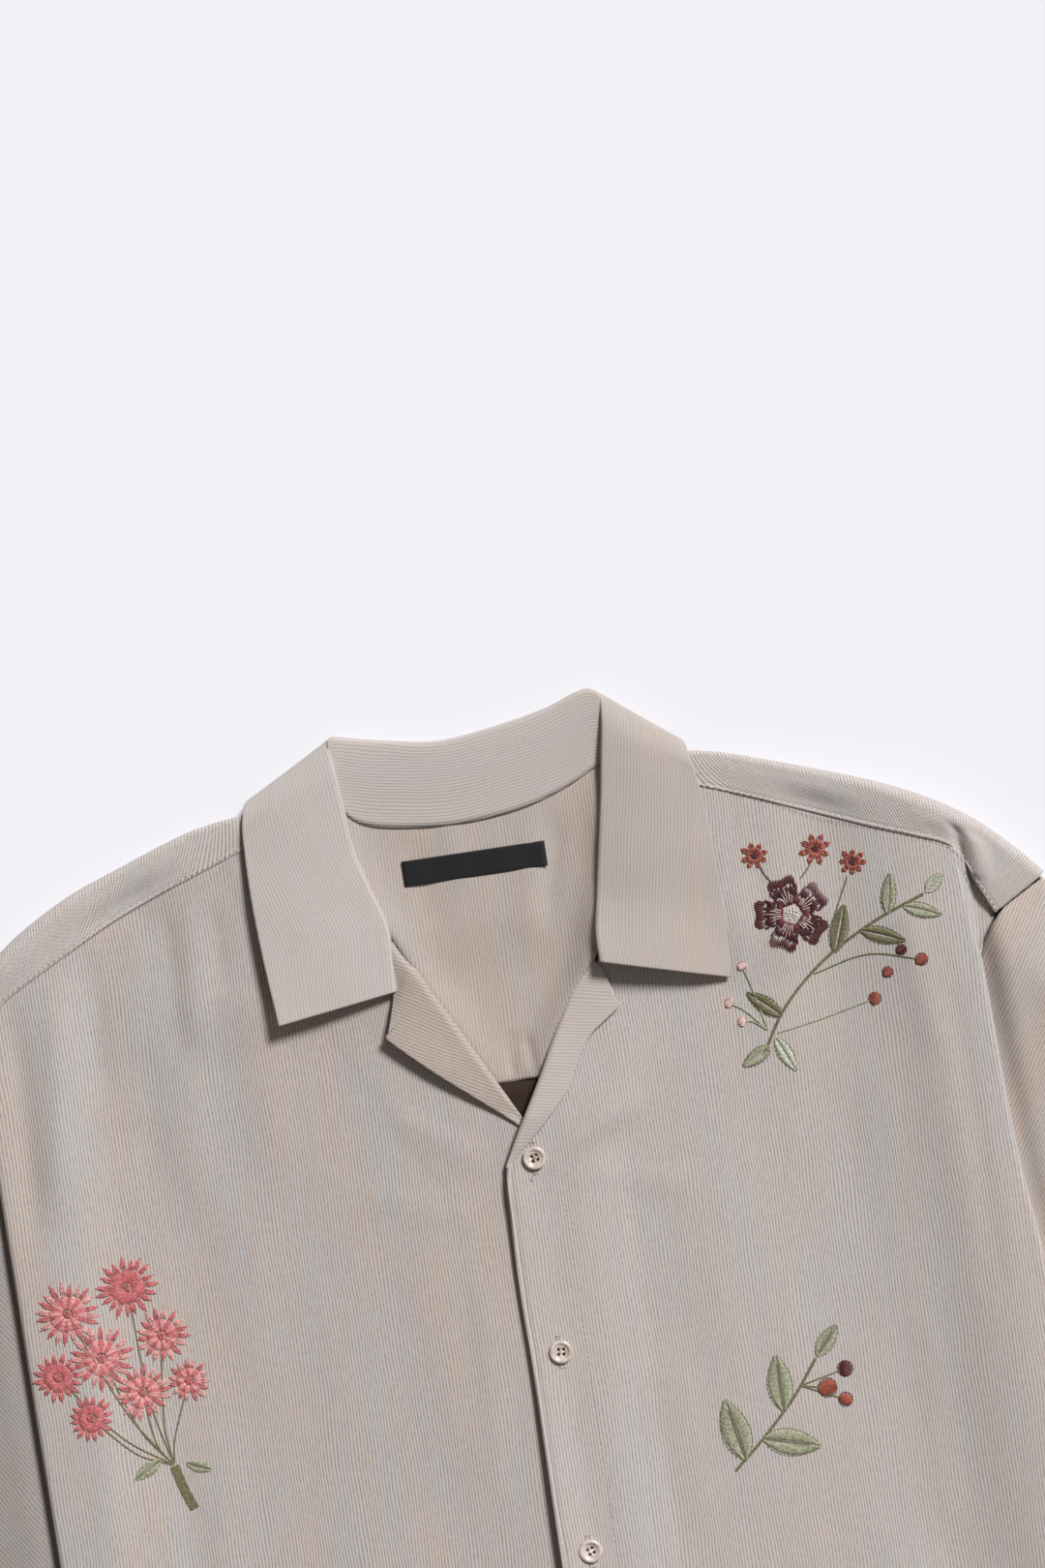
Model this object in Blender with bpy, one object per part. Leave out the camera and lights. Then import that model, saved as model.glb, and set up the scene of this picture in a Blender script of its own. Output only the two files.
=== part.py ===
"""A long-sleeved camp-collar shirt, size L, laid on its back on a flat surface.

Every piece that is cut and sewn is its own thin wall: back, yoke, two fronts, two facings turned out as
lapels, collar, two sleeves, two cuffs, a neck label and the buttons.

The tables are in millimetres in the shirt's own axes: x = 0 on the button line, positive towards the
wearer's left, y = 0 at the top button, positive towards the collar, and z = 0 on the surface below.
The finished shirt is then moved so that the middle of its underside is the origin.
"""

import math
from collections import namedtuple

import bmesh
import bpy

# Driving sizes, in millimetres.
MM = 0.001
WALL = 1.2
COLLAR_WALL = 1.6
CUFF_WALL = 1.6
LABEL_WALL = 0.6
SEAM_GAP = 0.3
FLOOR_MID = WALL / 2
HEM_Y = -560.0
YOKE_SEAM_Y = 36.0
FRONT_Z = 2.5
FOLD_RADIUS = 3.1
CREASE_DROP = 7.0
UNDERARM_TOP_Y = 84.5
BUTTON_PITCH = 98.7
BUTTON_COUNT = 6
BUTTON_RADIUS = 5.75
BUTTON_HEIGHT = 2.4
LABEL_SIZE = (71.0, 12.5)
LABEL_CENTRE = (-6.6, 144.4)
PLACKET_HALF = 15.0
CUFF_LENGTH = 62.0
CUFF_WIDTH = 116.0
SLEEVE_END_WIDTH = 126.0
LEFT_SIDE_SHIFT = 18.0

# Colours as linear values.
CLOTH = (0.46, 0.40, 0.365, 1.0)
CLOTH_LIGHT = (0.50, 0.44, 0.405, 1.0)
LABEL_BLACK = (0.015, 0.014, 0.018, 1.0)
BUTTON_BEIGE = (0.50, 0.42, 0.38, 1.0)

# The side of the body from hem to shoulder: the crease that shows from above, the seam where the panel
# ends under it, that seam's height, and the height of the crease's top. x is measured outwards.
EdgeRow = namedtuple("EdgeRow", "y crease seam seam_z top_z")
EDGE_WEARERS_LEFT = (
    EdgeRow(-560, 254, 224, 0.9, 6.8),
    EdgeRow(-420, 251, 221, 0.9, 6.9),
    EdgeRow(-320, 248, 216, 1.0, 7.5),
    EdgeRow(-262, 247, 211, 2.6, 9.6),
    EdgeRow(-215, 246, 207, 5.2, 11.8),
    EdgeRow(-178, 245, 204.4, 5.6, 12.4),
    EdgeRow(-88, 241, 207, 5.7, 12.6),
    EdgeRow(-39, 236, 208, 5.7, 12.6),
    EdgeRow(0, 234, 211, 5.7, 12.6),
    EdgeRow(35, 233, 220, 5.7, 12.6),
    EdgeRow(61, 232, 231, 5.6, 12.4),
    EdgeRow(82, 230, 242, 5.2, 11.6),
    EdgeRow(103, 229, 252, 5.0, 10.4),
    EdgeRow(122, 227.5, 258, 5.0, 9.4),
)
EDGE_WEARERS_RIGHT = (
    EdgeRow(-560, 268, 238, 0.9, 6.8),
    EdgeRow(-420, 265, 235, 0.9, 6.9),
    EdgeRow(-320, 261, 232, 1.0, 7.5),
    EdgeRow(-262, 259, 229, 2.6, 9.6),
    EdgeRow(-215, 258, 225, 5.2, 11.8),
    EdgeRow(-178, 257.5, 222.4, 5.6, 12.4),
    EdgeRow(-88, 258.5, 225, 5.7, 12.6),
    EdgeRow(-39, 259, 226, 5.7, 12.6),
    EdgeRow(0, 259.5, 229, 5.7, 12.6),
    EdgeRow(35, 259.5, 238, 5.7, 12.6),
    EdgeRow(61, 257.5, 249, 5.6, 12.4),
    EdgeRow(82, 254, 260, 5.2, 11.6),
    EdgeRow(103, 251, 270, 5.0, 10.4),
    EdgeRow(122, 248, 276, 5.0, 9.4),
)

# The inner edge of each front: straight down the placket, then up the lapel's roll line and the neck seam.
InnerRow = namedtuple("InnerRow", "y x")
INNER_WEARERS_LEFT = (
    InnerRow(-560, -15),
    InnerRow(-120, -15),
    InnerRow(-30, -12.6),
    InnerRow(-5, -10.6),
    InnerRow(10, -1.8),
    InnerRow(19, 3.6),
    InnerRow(37, 13.2),
    InnerRow(50, 20),
    InnerRow(63, 27.4),
    InnerRow(81, 40.6),
    InnerRow(90, 46.6),
    InnerRow(100, 51.5),
    InnerRow(130, 61),
    InnerRow(155, 66),
    InnerRow(178, 68),
)
INNER_WEARERS_RIGHT = (
    InnerRow(-560, -15),
    InnerRow(-40, -15),
    InnerRow(-14, -13),
    InnerRow(4, -2),
    InnerRow(16, 4.6),
    InnerRow(33, 13),
    InnerRow(49, 21.4),
    InnerRow(72, 33.4),
    InnerRow(93, 44.6),
    InnerRow(112, 53.6),
    InnerRow(135, 64),
    InnerRow(158, 71),
    InnerRow(180, 73),
)

# How far the overlapping front is lifted along its inner edge by the layers under it.
LiftRow = namedtuple("LiftRow", "y lift")
PLACKET_LIFT = (
    LiftRow(-560, 1.9),
    LiftRow(-300, 2.2),
    LiftRow(-200, 2.9),
    LiftRow(-100, 2.3),
    LiftRow(-30, 2.6),
    LiftRow(12, 3.9),
    LiftRow(40, 2.8),
    LiftRow(80, 1.0),
    LiftRow(108, 0.0),
)

# The shoulder: the outline of the fold, the edge of the yoke's front strip, and the strip's height there.
ShoulderRow = namedtuple("ShoulderRow", "x y edge_x edge_y z")
SHOULDER_WEARERS_LEFT = (
    ShoulderRow(77, 188, 76, 173, 6.2),
    ShoulderRow(90, 186, 89, 170.5, 6.2),
    ShoulderRow(105, 183.5, 105, 166.5, 6.2),
    ShoulderRow(125, 179, 130, 157.5, 6.2),
    ShoulderRow(161, 167, 162, 144.5, 7.0),
    ShoulderRow(191, 156, 190, 133, 9.2),
    ShoulderRow(212, 146.5, 210, 125.5, 11.2),
    ShoulderRow(227, 138, 224, 119.5, 11.8),
    ShoulderRow(237, 131, 231, 110, 11.2),
    ShoulderRow(247, 122.5, 234, 101, 10.2),
    ShoulderRow(259, 110.5, 238, 92, 9.9),
    ShoulderRow(268.8, 99.4, 242.2, 82.8, 8.8),
)
SHOULDER_WEARERS_RIGHT = (
    ShoulderRow(82, 189, 81, 175, 6.2),
    ShoulderRow(96, 187, 95, 172.5, 6.2),
    ShoulderRow(114, 184.5, 113, 169, 6.2),
    ShoulderRow(144, 179.7, 145, 158, 6.2),
    ShoulderRow(181, 167, 181, 144.5, 7.0),
    ShoulderRow(206, 157.5, 207, 131.5, 9.2),
    ShoulderRow(230, 144.5, 228, 120.5, 11.2),
    ShoulderRow(246, 133, 243, 112, 11.8),
    ShoulderRow(257, 125, 251, 104, 11.2),
    ShoulderRow(266, 117, 254, 97, 10.7),
    ShoulderRow(277, 108.5, 256.6, 90.6, 10.5),
    ShoulderRow(286.8, 99.4, 260.2, 82.8, 8.8),
)

# The back neck seam between the shoulders, from the wearer's right to the wearer's left.
NECK_SEAM = (
    (-72, 187),
    (-61, 177),
    (-42, 169.5),
    (-14, 167),
    (14, 169.5),
    (42, 177),
    (58, 184),
    (68, 187),
)

# Folds of the fronts, ridges above 0 and troughs below, as lines from one end to the other.
Fold = namedtuple("Fold", "x0 y0 x1 y1 half_width height")
FRONT_FOLDS = (
    Fold(-222, 118, -238, -60, 11, 1.5),
    Fold(-205, 120, -212, -30, 9, -1.0),
    Fold(-160, 138, -168, -20, 14, 1.6),
    Fold(-186, 130, -192, 30, 9, 1.0),
    Fold(-128, 120, -120, -10, 13, 0.9),
    Fold(-176, -60, -182, -330, 15, 1.8),
    Fold(-96, -150, -88, -420, 18, 1.2),
    Fold(-215, -190, -205, -500, 16, 1.5),
    Fold(-50, 0, -58, -170, 16, 0.8),
    Fold(170, 60, 174, -150, 16, 1.4),
    Fold(92, 20, 84, -220, 18, 1.0),
    Fold(138, 130, 132, 10, 12, 0.8),
    Fold(205, 80, 214, -170, 12, 1.3),
    Fold(150, -180, 158, -440, 18, 1.6),
    Fold(60, -240, 70, -500, 18, 1.2),
    Fold(212, -230, 206, -500, 16, 1.5),
)

# The collar, one row for each section from the wearer's right front edge round the back of the neck:
# a is the seam edge of the stand, r the roll line, o the outer edge, and the last three are the heights
# of the stand and of the fall beside the roll line, and how far the fall's middle bulges up.
CollarRow = namedtuple("CollarRow", "ax ay az rx ry ox oy oz stand_z fall_z bulge")
COLLAR_ROWS = (
    CollarRow(-62, 90, 6.2, -54, 88, -112.8, 80, 15, 6.3, 10.2, 0.6),
    CollarRow(-64, 103, 6.2, -53.6, 103, -114.4, 97, 14.2, 6.3, 10.2, 0.8),
    CollarRow(-68, 121, 6.2, -53.5, 121, -116, 116, 13.2, 6.3, 10.2, 1),
    CollarRow(-74, 140, 6.2, -59, 140, -117.2, 139, 12, 6.3, 10.2, 1),
    CollarRow(-77, 160, 6.2, -64.3, 160, -117.4, 158, 10.8, 6.3, 10, 0.8),
    CollarRow(-78, 176, 6.2, -66.3, 182, -117, 174, 9.8, 6.3, 9.8, 0.6),
    CollarRow(-75.5, 184, 6.2, -68, 200, -115.8, 183.5, 9, 6.4, 9, 0.3),
    CollarRow(-72.5, 185.5, 5.9, -69.3, 212, -113, 190.5, 4.9, 6.3, 5.8, 0),
    CollarRow(-69, 183.5, 5.2, -67, 215.6, -104, 190.5, 1.1, 6, 2.2, 0),
    CollarRow(-61.5, 173.5, 4.8, -60, 214.2, -92, 166, 1.1, 5.6, 1.1, 0),
    CollarRow(-45, 168, 4.4, -44, 210.6, -62, 143, 1.1, 5.3, 1.1, 0),
    CollarRow(-14, 165, 4.4, -14.5, 206.2, -16, 135, 1.1, 5.3, 1.1, 0),
    CollarRow(18, 167.5, 4.4, 17, 209.8, 26, 139, 1.1, 5.3, 1.1, 0),
    CollarRow(42, 174.5, 4.4, 40, 214.6, 62, 149, 1.1, 5.3, 1.1, 0),
    CollarRow(57, 181.5, 4.8, 54, 219.6, 84, 168, 1.1, 5.6, 1.1, 0),
    CollarRow(64, 184, 5.2, 61.8, 220.6, 93.6, 190.8, 1.1, 6, 2.2, 0),
    CollarRow(69, 184.5, 5.9, 66.2, 216, 103.4, 188.6, 4.9, 6.3, 5.8, 0),
    CollarRow(72, 182, 6.6, 65.6, 204, 105.4, 179.4, 9.1, 6.7, 9.5, 0.4),
    CollarRow(74, 172, 6.6, 63, 188, 107.6, 170, 9.8, 6.7, 10.3, 0.8),
    CollarRow(72, 156, 6.6, 59.8, 168, 109.4, 153, 9.9, 6.7, 10.7, 1.3),
    CollarRow(69, 138, 6.6, 55.2, 143, 110.8, 131, 9.9, 6.7, 11.4, 2.2),
    CollarRow(65, 119, 6.6, 50.6, 119, 111.4, 108, 9.6, 6.7, 12, 2.8),
    CollarRow(60, 103, 6.6, 47.6, 102, 110.9, 88, 9.5, 6.7, 12.8, 3.2),
    CollarRow(56, 91, 6.6, 47.5, 88, 109.5, 70.6, 9.3, 6.7, 13.8, 3.2),
)

# The lapels, from the break point up to the notch: the roll line and the outer edge, and the height of
# the outer edge above the front below it.
LapelRow = namedtuple("LapelRow", "rx ry ox oy edge_lift")
LAPEL_WEARERS_LEFT = (
    LapelRow(-13.2, -4.0, -11.6, -5.0, 2.4),
    LapelRow(-5.0, 11.0, -0.8, 6.0, 2.8),
    LapelRow(1.0, 20.4, 12.0, 17.0, 3.0),
    LapelRow(10.5, 37.0, 22.5, 28.6, 3.0),
    LapelRow(17.2, 50.0, 29.2, 41.0, 3.0),
    LapelRow(24.5, 63.0, 37.0, 52.6, 3.2),
    LapelRow(31.4, 74.9, 52.9, 64.6, 3.6),
    LapelRow(33.0, 77.0, 52.4, 68.0, 3.6),
    LapelRow(38.6, 84.0, 50.6, 75.4, 3.6),
    LapelRow(43.0, 90.4, 47.4, 85.6, 3.2),
)
LAPEL_WEARERS_RIGHT = (
    LapelRow(-1.2, 15.2, -3.4, 13.4, 2.0),
    LapelRow(-5.4, 23.6, -12.4, 21.4, 2.8),
    LapelRow(-11.0, 34.6, -22.6, 30.0, 4.0),
    LapelRow(-18.4, 49.2, -34.6, 40.2, 5.2),
    LapelRow(-26.0, 64.4, -46.4, 50.6, 6.0),
    LapelRow(-36.0, 83.6, -61.2, 65.0, 6.4),
    LapelRow(-37.6, 86.8, -60.8, 68.2, 6.2),
    LapelRow(-42.2, 96.0, -57.4, 79.0, 5.0),
    LapelRow(-45.6, 101.6, -53.2, 86.4, 3.2),
)

# The sleeve's own lines for the wearer's left; the other sleeve mirrors them. The armhole runs from the
# shoulder to the underarm.
ARMHOLE = (
    (270, 98),
    (256, 90.5),
    (243, 82),
    (231, 61),
    (220, 35),
    (211, 0),
    (208, -39),
    (207, -88),
    (205, -178),
)
SLEEVE_OUTER = ((270, 98), (301, 59), (355, -25), (410, -109), (464, -193), (519, -277), (554, -331))
SLEEVE_TOP_Z = 4.1
SLEEVE_EDGE_RADIUS = 1.7
SLEEVE_LOW_STEPS = 8
SleeveFold = namedtuple("SleeveFold", "across0 along0 across1 along1 half_width height")
SLEEVE_FOLDS = (
    SleeveFold(0.12, 0.03, 0.34, 0.42, 10, 2.6),
    SleeveFold(0.42, 0.16, 0.60, 0.62, 11, 2.8),
    SleeveFold(0.72, 0.34, 0.55, 0.66, 10, 2.2),
    SleeveFold(0.24, 0.50, 0.78, 0.60, 9, 2.4),
    SleeveFold(0.22, 0.62, 0.66, 0.74, 8, 2.0),
    SleeveFold(0.30, 0.99, 0.36, 0.80, 6, 2.4),
    SleeveFold(0.46, 0.99, 0.50, 0.78, 6, 2.6),
    SleeveFold(0.64, 0.99, 0.62, 0.82, 6, 2.2),
)


def smooth(t):
    """0 to 1 with level ends."""
    t = min(1.0, max(0.0, t))
    return t * t * (3 - 2 * t)


def mix(a, b, t):
    return a + (b - a) * t


def mix_point(a, b, t):
    return tuple(mix(p, q, t) for p, q in zip(a, b))


def curve_value(keys, values, at):
    """A smooth curve through (key, value) pairs, with the end values held beyond the ends."""
    if at <= keys[0]:
        return values[0]
    if at >= keys[-1]:
        return values[-1]
    i = max(k for k in range(len(keys) - 1) if keys[k] <= at)

    def slope(k):
        low, high = max(k - 1, 0), min(k + 1, len(keys) - 1)
        return (values[high] - values[low]) / (keys[high] - keys[low])

    width = keys[i + 1] - keys[i]
    t = (at - keys[i]) / width
    return (
        (2 * t**3 - 3 * t**2 + 1) * values[i]
        + (t**3 - 2 * t**2 + t) * width * slope(i)
        + (3 * t**2 - 2 * t**3) * values[i + 1]
        + (t**3 - t**2) * width * slope(i + 1)
    )


def row_at(rows, key):
    """A table's row at any value of its first column."""
    keys = [row[0] for row in rows]
    return type(rows[0])(*(curve_value(keys, column, key) for column in zip(*rows)))


def row_along(rows, share):
    """A table's row at a share of the way through its rows."""
    keys = list(range(len(rows)))
    at = share * (len(rows) - 1)
    return type(rows[0])(*(curve_value(keys, column, at) for column in zip(*rows)))


def point_along(points, share):
    """The point at a share of a line's length, on a smooth curve through its points."""
    lengths = [0.0]
    for p, q in zip(points, points[1:]):
        lengths.append(lengths[-1] + math.dist(p, q))
    at = share * lengths[-1]
    return tuple(curve_value(lengths, column, at) for column in zip(*points))


def ridge(fold_ends, half_width, height, x, y):
    """The height that one fold adds at a point: full along its line and fading to its ends and sides."""
    (x0, y0), (x1, y1) = fold_ends
    length = math.hypot(x1 - x0, y1 - y0)
    along = ((x - x0) * (x1 - x0) + (y - y0) * (y1 - y0)) / length**2
    off = ((x - x0) * (y1 - y0) - (y - y0) * (x1 - x0)) / length
    window = smooth(along / 0.3) * smooth((1 - along) / 0.3)
    return height * window * math.exp(-((off / half_width) ** 2))


class Side:
    """One side of the shirt: sign is 1 on the wearer's left and -1 on the wearer's right."""

    def __init__(self, name, sign, edge, inner, shoulder, lapel, sleeve_shift):
        self.name = name
        self.sign = sign
        self.edge = edge
        self.inner = inner
        self.shoulder = shoulder
        self.lapel = lapel
        self.sleeve_shift = sleeve_shift

    def armhole(self):
        return [(x + self.sleeve_shift + SEAM_GAP, y) for x, y in ARMHOLE]


WEARERS_LEFT = Side(
    "left", 1, EDGE_WEARERS_LEFT, INNER_WEARERS_LEFT, SHOULDER_WEARERS_LEFT, LAPEL_WEARERS_LEFT, 0.0
)
WEARERS_RIGHT = Side(
    "right",
    -1,
    EDGE_WEARERS_RIGHT,
    INNER_WEARERS_RIGHT,
    SHOULDER_WEARERS_RIGHT,
    LAPEL_WEARERS_RIGHT,
    LEFT_SIDE_SHIFT,
)


def front_height(side, out, y):
    """The height of the middle of a front's wall, at a distance out from the button line."""
    row = row_at(side.edge, y)
    rise = smooth((out - (row.crease - 78)) / 66)
    z = mix(FRONT_Z, row.top_z, rise)
    x = side.sign * out
    for fold in FRONT_FOLDS:
        if abs(x - (fold.x0 + fold.x1) / 2) < 70:
            z += (1 - rise) * ridge(
                ((fold.x0, fold.y0), (fold.x1, fold.y1)), fold.half_width, fold.height, x, y
            )
    if side is WEARERS_LEFT:
        inner = row_at(side.inner, y).x
        z += row_at(PLACKET_LIFT, y).lift * smooth((inner + 62 - out) / 30)
    return max(z, FRONT_Z - 0.5) + collar_rise(x, y, spread=22.0)


def front_section(side, y, main_steps, arc_steps, tail_steps):
    """The front's section at one height: across the panel, round the crease and back under to the seam."""
    row = row_at(side.edge, y)
    inner = row_at(side.inner, y).x
    start = row.crease - FOLD_RADIUS
    points = []
    for i in range(main_steps + 1):
        share = i / main_steps
        out = mix(inner, start, share)
        points.append((out, front_height(side, out, y)))
    top = points[-1][1]
    centre = (start, top - FOLD_RADIUS)
    to_seam = (row.seam - centre[0], row.seam_z - centre[1])
    reach = math.hypot(*to_seam)
    last_angle = math.atan2(to_seam[1], to_seam[0]) + math.acos(min(1.0, FOLD_RADIUS / reach))
    for i in range(1, arc_steps + 1):
        angle = mix(math.pi / 2, last_angle, i / arc_steps)
        reach, rise = FOLD_RADIUS * math.cos(angle), FOLD_RADIUS * math.sin(angle)
        points.append((centre[0] + reach, centre[1] + rise))
    arc_end = points[-1]
    for i in range(1, tail_steps + 1):
        points.append(mix_point(arc_end, (row.seam, row.seam_z), i / tail_steps))
    return points


def front_rows(side, main_steps=12, arc_steps=4, tail_steps=3, row_count=18):
    """The front's grid of points. Each column runs from the hem up to the yoke's seam."""
    columns = main_steps + arc_steps + tail_steps + 1
    seam_line = [(row.edge_x, row.edge_y) for row in side.shoulder]
    seam_keys = [p[0] for p in seam_line]
    seam_values = [p[1] for p in seam_line]
    tops = []
    for j in range(main_steps + 1):
        y = 150.0
        for _ in range(12):
            inner = row_at(side.inner, y).x
            start = row_at(side.edge, y).crease - FOLD_RADIUS
            out = mix(inner, start, j / main_steps)
            y = mix(y, curve_value(seam_keys, seam_values, out), 0.7)
        tops.append(y + 2.0)
    tops += [tops[main_steps] - CREASE_DROP * j / arc_steps for j in range(1, arc_steps + 1)]
    tail_top = tops[-1]
    tops += [mix(tail_top, UNDERARM_TOP_Y, j / tail_steps) for j in range(1, tail_steps + 1)]
    rows = []
    for i in range(row_count + 1):
        share = 1 - (1 - i / row_count) ** 1.25
        row = []
        for j in range(columns):
            y = mix(HEM_Y, tops[j], share)
            out, z = front_section(side, y, main_steps, arc_steps, tail_steps)[j]
            row.append((side.sign * out, y, z))
        rows.append(row)
    return rows


def make_object(name, vertices, faces, material, wall, even=True):
    """An object from points in millimetres, thickened evenly about its middle surface."""
    mesh = bpy.data.meshes.new(name)
    mesh.from_pydata([(x * MM, y * MM, z * MM) for x, y, z in vertices], [], faces)
    made = bmesh.new()
    made.from_mesh(mesh)
    bmesh.ops.recalc_face_normals(made, faces=made.faces)
    made.to_mesh(mesh)
    made.free()
    mesh.materials.append(material)
    mesh.shade_smooth()
    obj = bpy.data.objects.new(name, mesh)
    bpy.context.scene.collection.objects.link(obj)
    if wall:
        solidify = obj.modifiers.new("wall", "SOLIDIFY")
        solidify.thickness = wall * MM
        solidify.offset = 0
        solidify.use_even_offset = even
        solidify.use_quality_normals = True
    return obj


def grid_object(name, rows, material, wall, closed=False, even=True):
    """A sheet, or a tube where closed, through rows of points."""
    count = len(rows[0])
    vertices = [p for row in rows for p in row]
    faces = []
    for i in range(len(rows) - 1):
        for j in range(count if closed else count - 1):
            k = (j + 1) % count
            faces.append((i * count + j, i * count + k, (i + 1) * count + k, (i + 1) * count + j))
    return make_object(name, vertices, faces, material, wall, even)


def cloth_material(name, colour, roughness=0.85, metallic=0.0):
    material = bpy.data.materials.new(name)
    material.use_nodes = True
    shader = material.node_tree.nodes["Principled BSDF"]
    shader.inputs["Base Color"].default_value = colour
    shader.inputs["Roughness"].default_value = roughness
    shader.inputs["Metallic"].default_value = metallic
    return material


def armhole_corners(side):
    """The armhole as the straight runs that the sleeve's end is made of."""
    inset = SLEEVE_EDGE_RADIUS / math.dist(side.armhole()[0], side.armhole()[-1])
    shares = [mix(inset, 1 - inset, i / SLEEVE_LOW_STEPS) for i in range(SLEEVE_LOW_STEPS + 1)]
    return [point_along(side.armhole(), share) for share in shares]


def armhole_out(side, y):
    """How far out the armhole, or below it the side seam, lies at a height."""
    corners = armhole_corners(side)
    if y <= corners[-1][1] + 0.1:
        return row_at(side.edge, y).seam
    for (x0, y0), (x1, y1) in zip(corners, corners[1:]):
        if y >= y1:
            return x0 + (x1 - x0) * (y - y0) / (y1 - y0)
    return corners[-1][0]


def make_back(material):
    """The back panel, flat on the surface between the side seams and the armholes."""
    arm = [p[1] for p in armhole_corners(WEARERS_LEFT) if p[1] < YOKE_SEAM_Y - 4]
    heights = [HEM_Y, -440, -320, -262, -215] + sorted(arm) + [YOKE_SEAM_Y - SEAM_GAP]
    rows = []
    for y in heights:
        low = SEAM_GAP - armhole_out(WEARERS_RIGHT, y)
        high = armhole_out(WEARERS_LEFT, y) - SEAM_GAP
        rows.append([(mix(low, high, i / 8), y, FLOOR_MID) for i in range(9)])
    return grid_object("back", rows, material, WALL)


def collar_rise(x, y, spread=0.0):
    """How far the layers over the back of the neck rise over the collar that is folded behind it."""
    return 2.1 * smooth((y - 84 + spread) / 36) * smooth((152 + spread - abs(x + 4)) / 32)


def yoke_low_height(x, y):
    """The height of the yoke's flat layer."""
    return FLOOR_MID + collar_rise(x, y)


def shoulder_normal(rows, share):
    """The outward direction of the shoulder's outline in plan."""
    before = row_along(rows, max(0.0, share - 0.02))
    after = row_along(rows, min(1.0, share + 0.02))
    dx, dy = after.x - before.x, after.y - before.y
    length = math.hypot(dx, dy)
    return -dy / length, dx / length


def yoke_columns():
    """Columns of points from the back seam up and, on the shoulders, over the fold to the front seam."""
    shoulder_steps, arc_steps, strip_steps = 12, 4, 2
    heads = []
    for side in (WEARERS_RIGHT, WEARERS_LEFT):
        parts = []
        for i in range(shoulder_steps + 1):
            share = i / shoulder_steps
            row = row_along(side.shoulder, share)
            nx, ny = shoulder_normal(side.shoulder, share)
            low_z = yoke_low_height(side.sign * row.x, row.y)
            radius = (row.z - low_z) / 2
            centre = (row.x - nx * radius, row.y - ny * radius)
            arc = []
            for k in range(arc_steps + 1):
                angle = mix(-math.pi / 2, math.pi / 2, k / arc_steps)
                reach = radius * math.cos(angle)
                arc.append(
                    (
                        side.sign * (centre[0] + nx * reach),
                        centre[1] + ny * reach,
                        low_z + radius + radius * math.sin(angle),
                    )
                )
            edge = (side.sign * row.edge_x, row.edge_y, row.z)
            strip = [mix_point(arc[-1], edge, k / strip_steps) for k in range(1, strip_steps + 1)]
            parts.append(arc + strip)
        heads.append(parts)
    right, left = heads
    neck = [[(x, y, yoke_low_height(x, y))] for x, y in NECK_SEAM]
    tops = list(reversed(right)) + neck + left
    count = len(tops)
    low_left = -armhole_out(WEARERS_RIGHT, YOKE_SEAM_Y)
    low_right = armhole_out(WEARERS_LEFT, YOKE_SEAM_Y)
    corner_y = tops[-1][0][1]
    arm_heights = sorted(y for _, y in armhole_corners(WEARERS_LEFT) if YOKE_SEAM_Y < y < corner_y - 3)
    low_parts = [0.0] + [(y - YOKE_SEAM_Y) / (corner_y - YOKE_SEAM_Y) for y in arm_heights]
    columns = []
    for c, head in enumerate(tops):
        share = c / (count - 1)
        foot_x = mix(low_left, low_right, mix(share, smooth(share), -0.25))
        side, corner = (WEARERS_LEFT, tops[-1][0]) if share > 0.5 else (WEARERS_RIGHT, tops[0][0])
        body = []
        for part in low_parts:
            y = mix(YOKE_SEAM_Y, head[0][1], part)
            x = mix(foot_x, head[0][0], part)
            edge_y = mix(YOKE_SEAM_Y, corner[1], part)
            straight = mix(armhole_out(side, YOKE_SEAM_Y), abs(corner[0]), part)
            bend = (armhole_out(side, edge_y) - 2.5 * SEAM_GAP - straight) * abs(2 * share - 1) ** 6
            x += side.sign * bend
            body.append((x, y, yoke_low_height(x, y)))
        columns.append(body + head)
    return columns


def make_yoke(material):
    """The yoke: flat behind the back, and folded over each shoulder down to the forward seam."""
    columns = yoke_columns()
    vertices, index = [], []
    for column in columns:
        index.append([len(vertices) + k for k in range(len(column))])
        vertices.extend(column)
    faces = []
    for a, b in zip(index, index[1:]):
        for k in range(min(len(a), len(b)) - 1):
            faces.append((a[k], b[k], b[k + 1], a[k + 1]))
    return make_object("yoke", vertices, faces, material, WALL)


def collar_section(row, stand_steps=2, fall_steps=5):
    """The collar's section: up the stand, round the roll line and down the fall."""
    ax, ay, rx, ry, ox, oy = row.ax, row.ay, row.rx, row.ry, row.ox, row.oy
    stand_length = math.hypot(rx - ax, ry - ay)
    fall_length = math.hypot(ox - rx, oy - ry)
    up = ((rx - ax) / stand_length, (ry - ay) / stand_length)
    down = ((ox - rx) / fall_length, (oy - ry) / fall_length)
    radius = max(1.2, abs(row.fall_z - row.stand_z) / 2)
    points = []
    for i in range(stand_steps):
        share = i / stand_steps
        reach = share * (stand_length - radius)
        points.append((ax + up[0] * reach, ay + up[1] * reach, mix(row.az, row.stand_z, smooth(share))))
    for i in range(7):
        angle = math.pi * i / 6
        back = radius * (1 - math.sin(angle))
        z = mix(row.stand_z, row.fall_z, (1 - math.cos(angle)) / 2)
        direction = up if i < 3 else down
        sign = -1 if i < 3 else 1
        if i == 3:
            points.append((rx, ry, z))
        else:
            points.append((rx + sign * direction[0] * back, ry + sign * direction[1] * back, z))
    for i in range(1, fall_steps + 1):
        share = i / fall_steps
        reach = mix(radius, fall_length, share)
        z = mix(row.fall_z, row.oz, share) + row.bulge * math.sin(math.pi * share)
        points.append((rx + down[0] * reach, ry + down[1] * reach, z))
    return points


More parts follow.
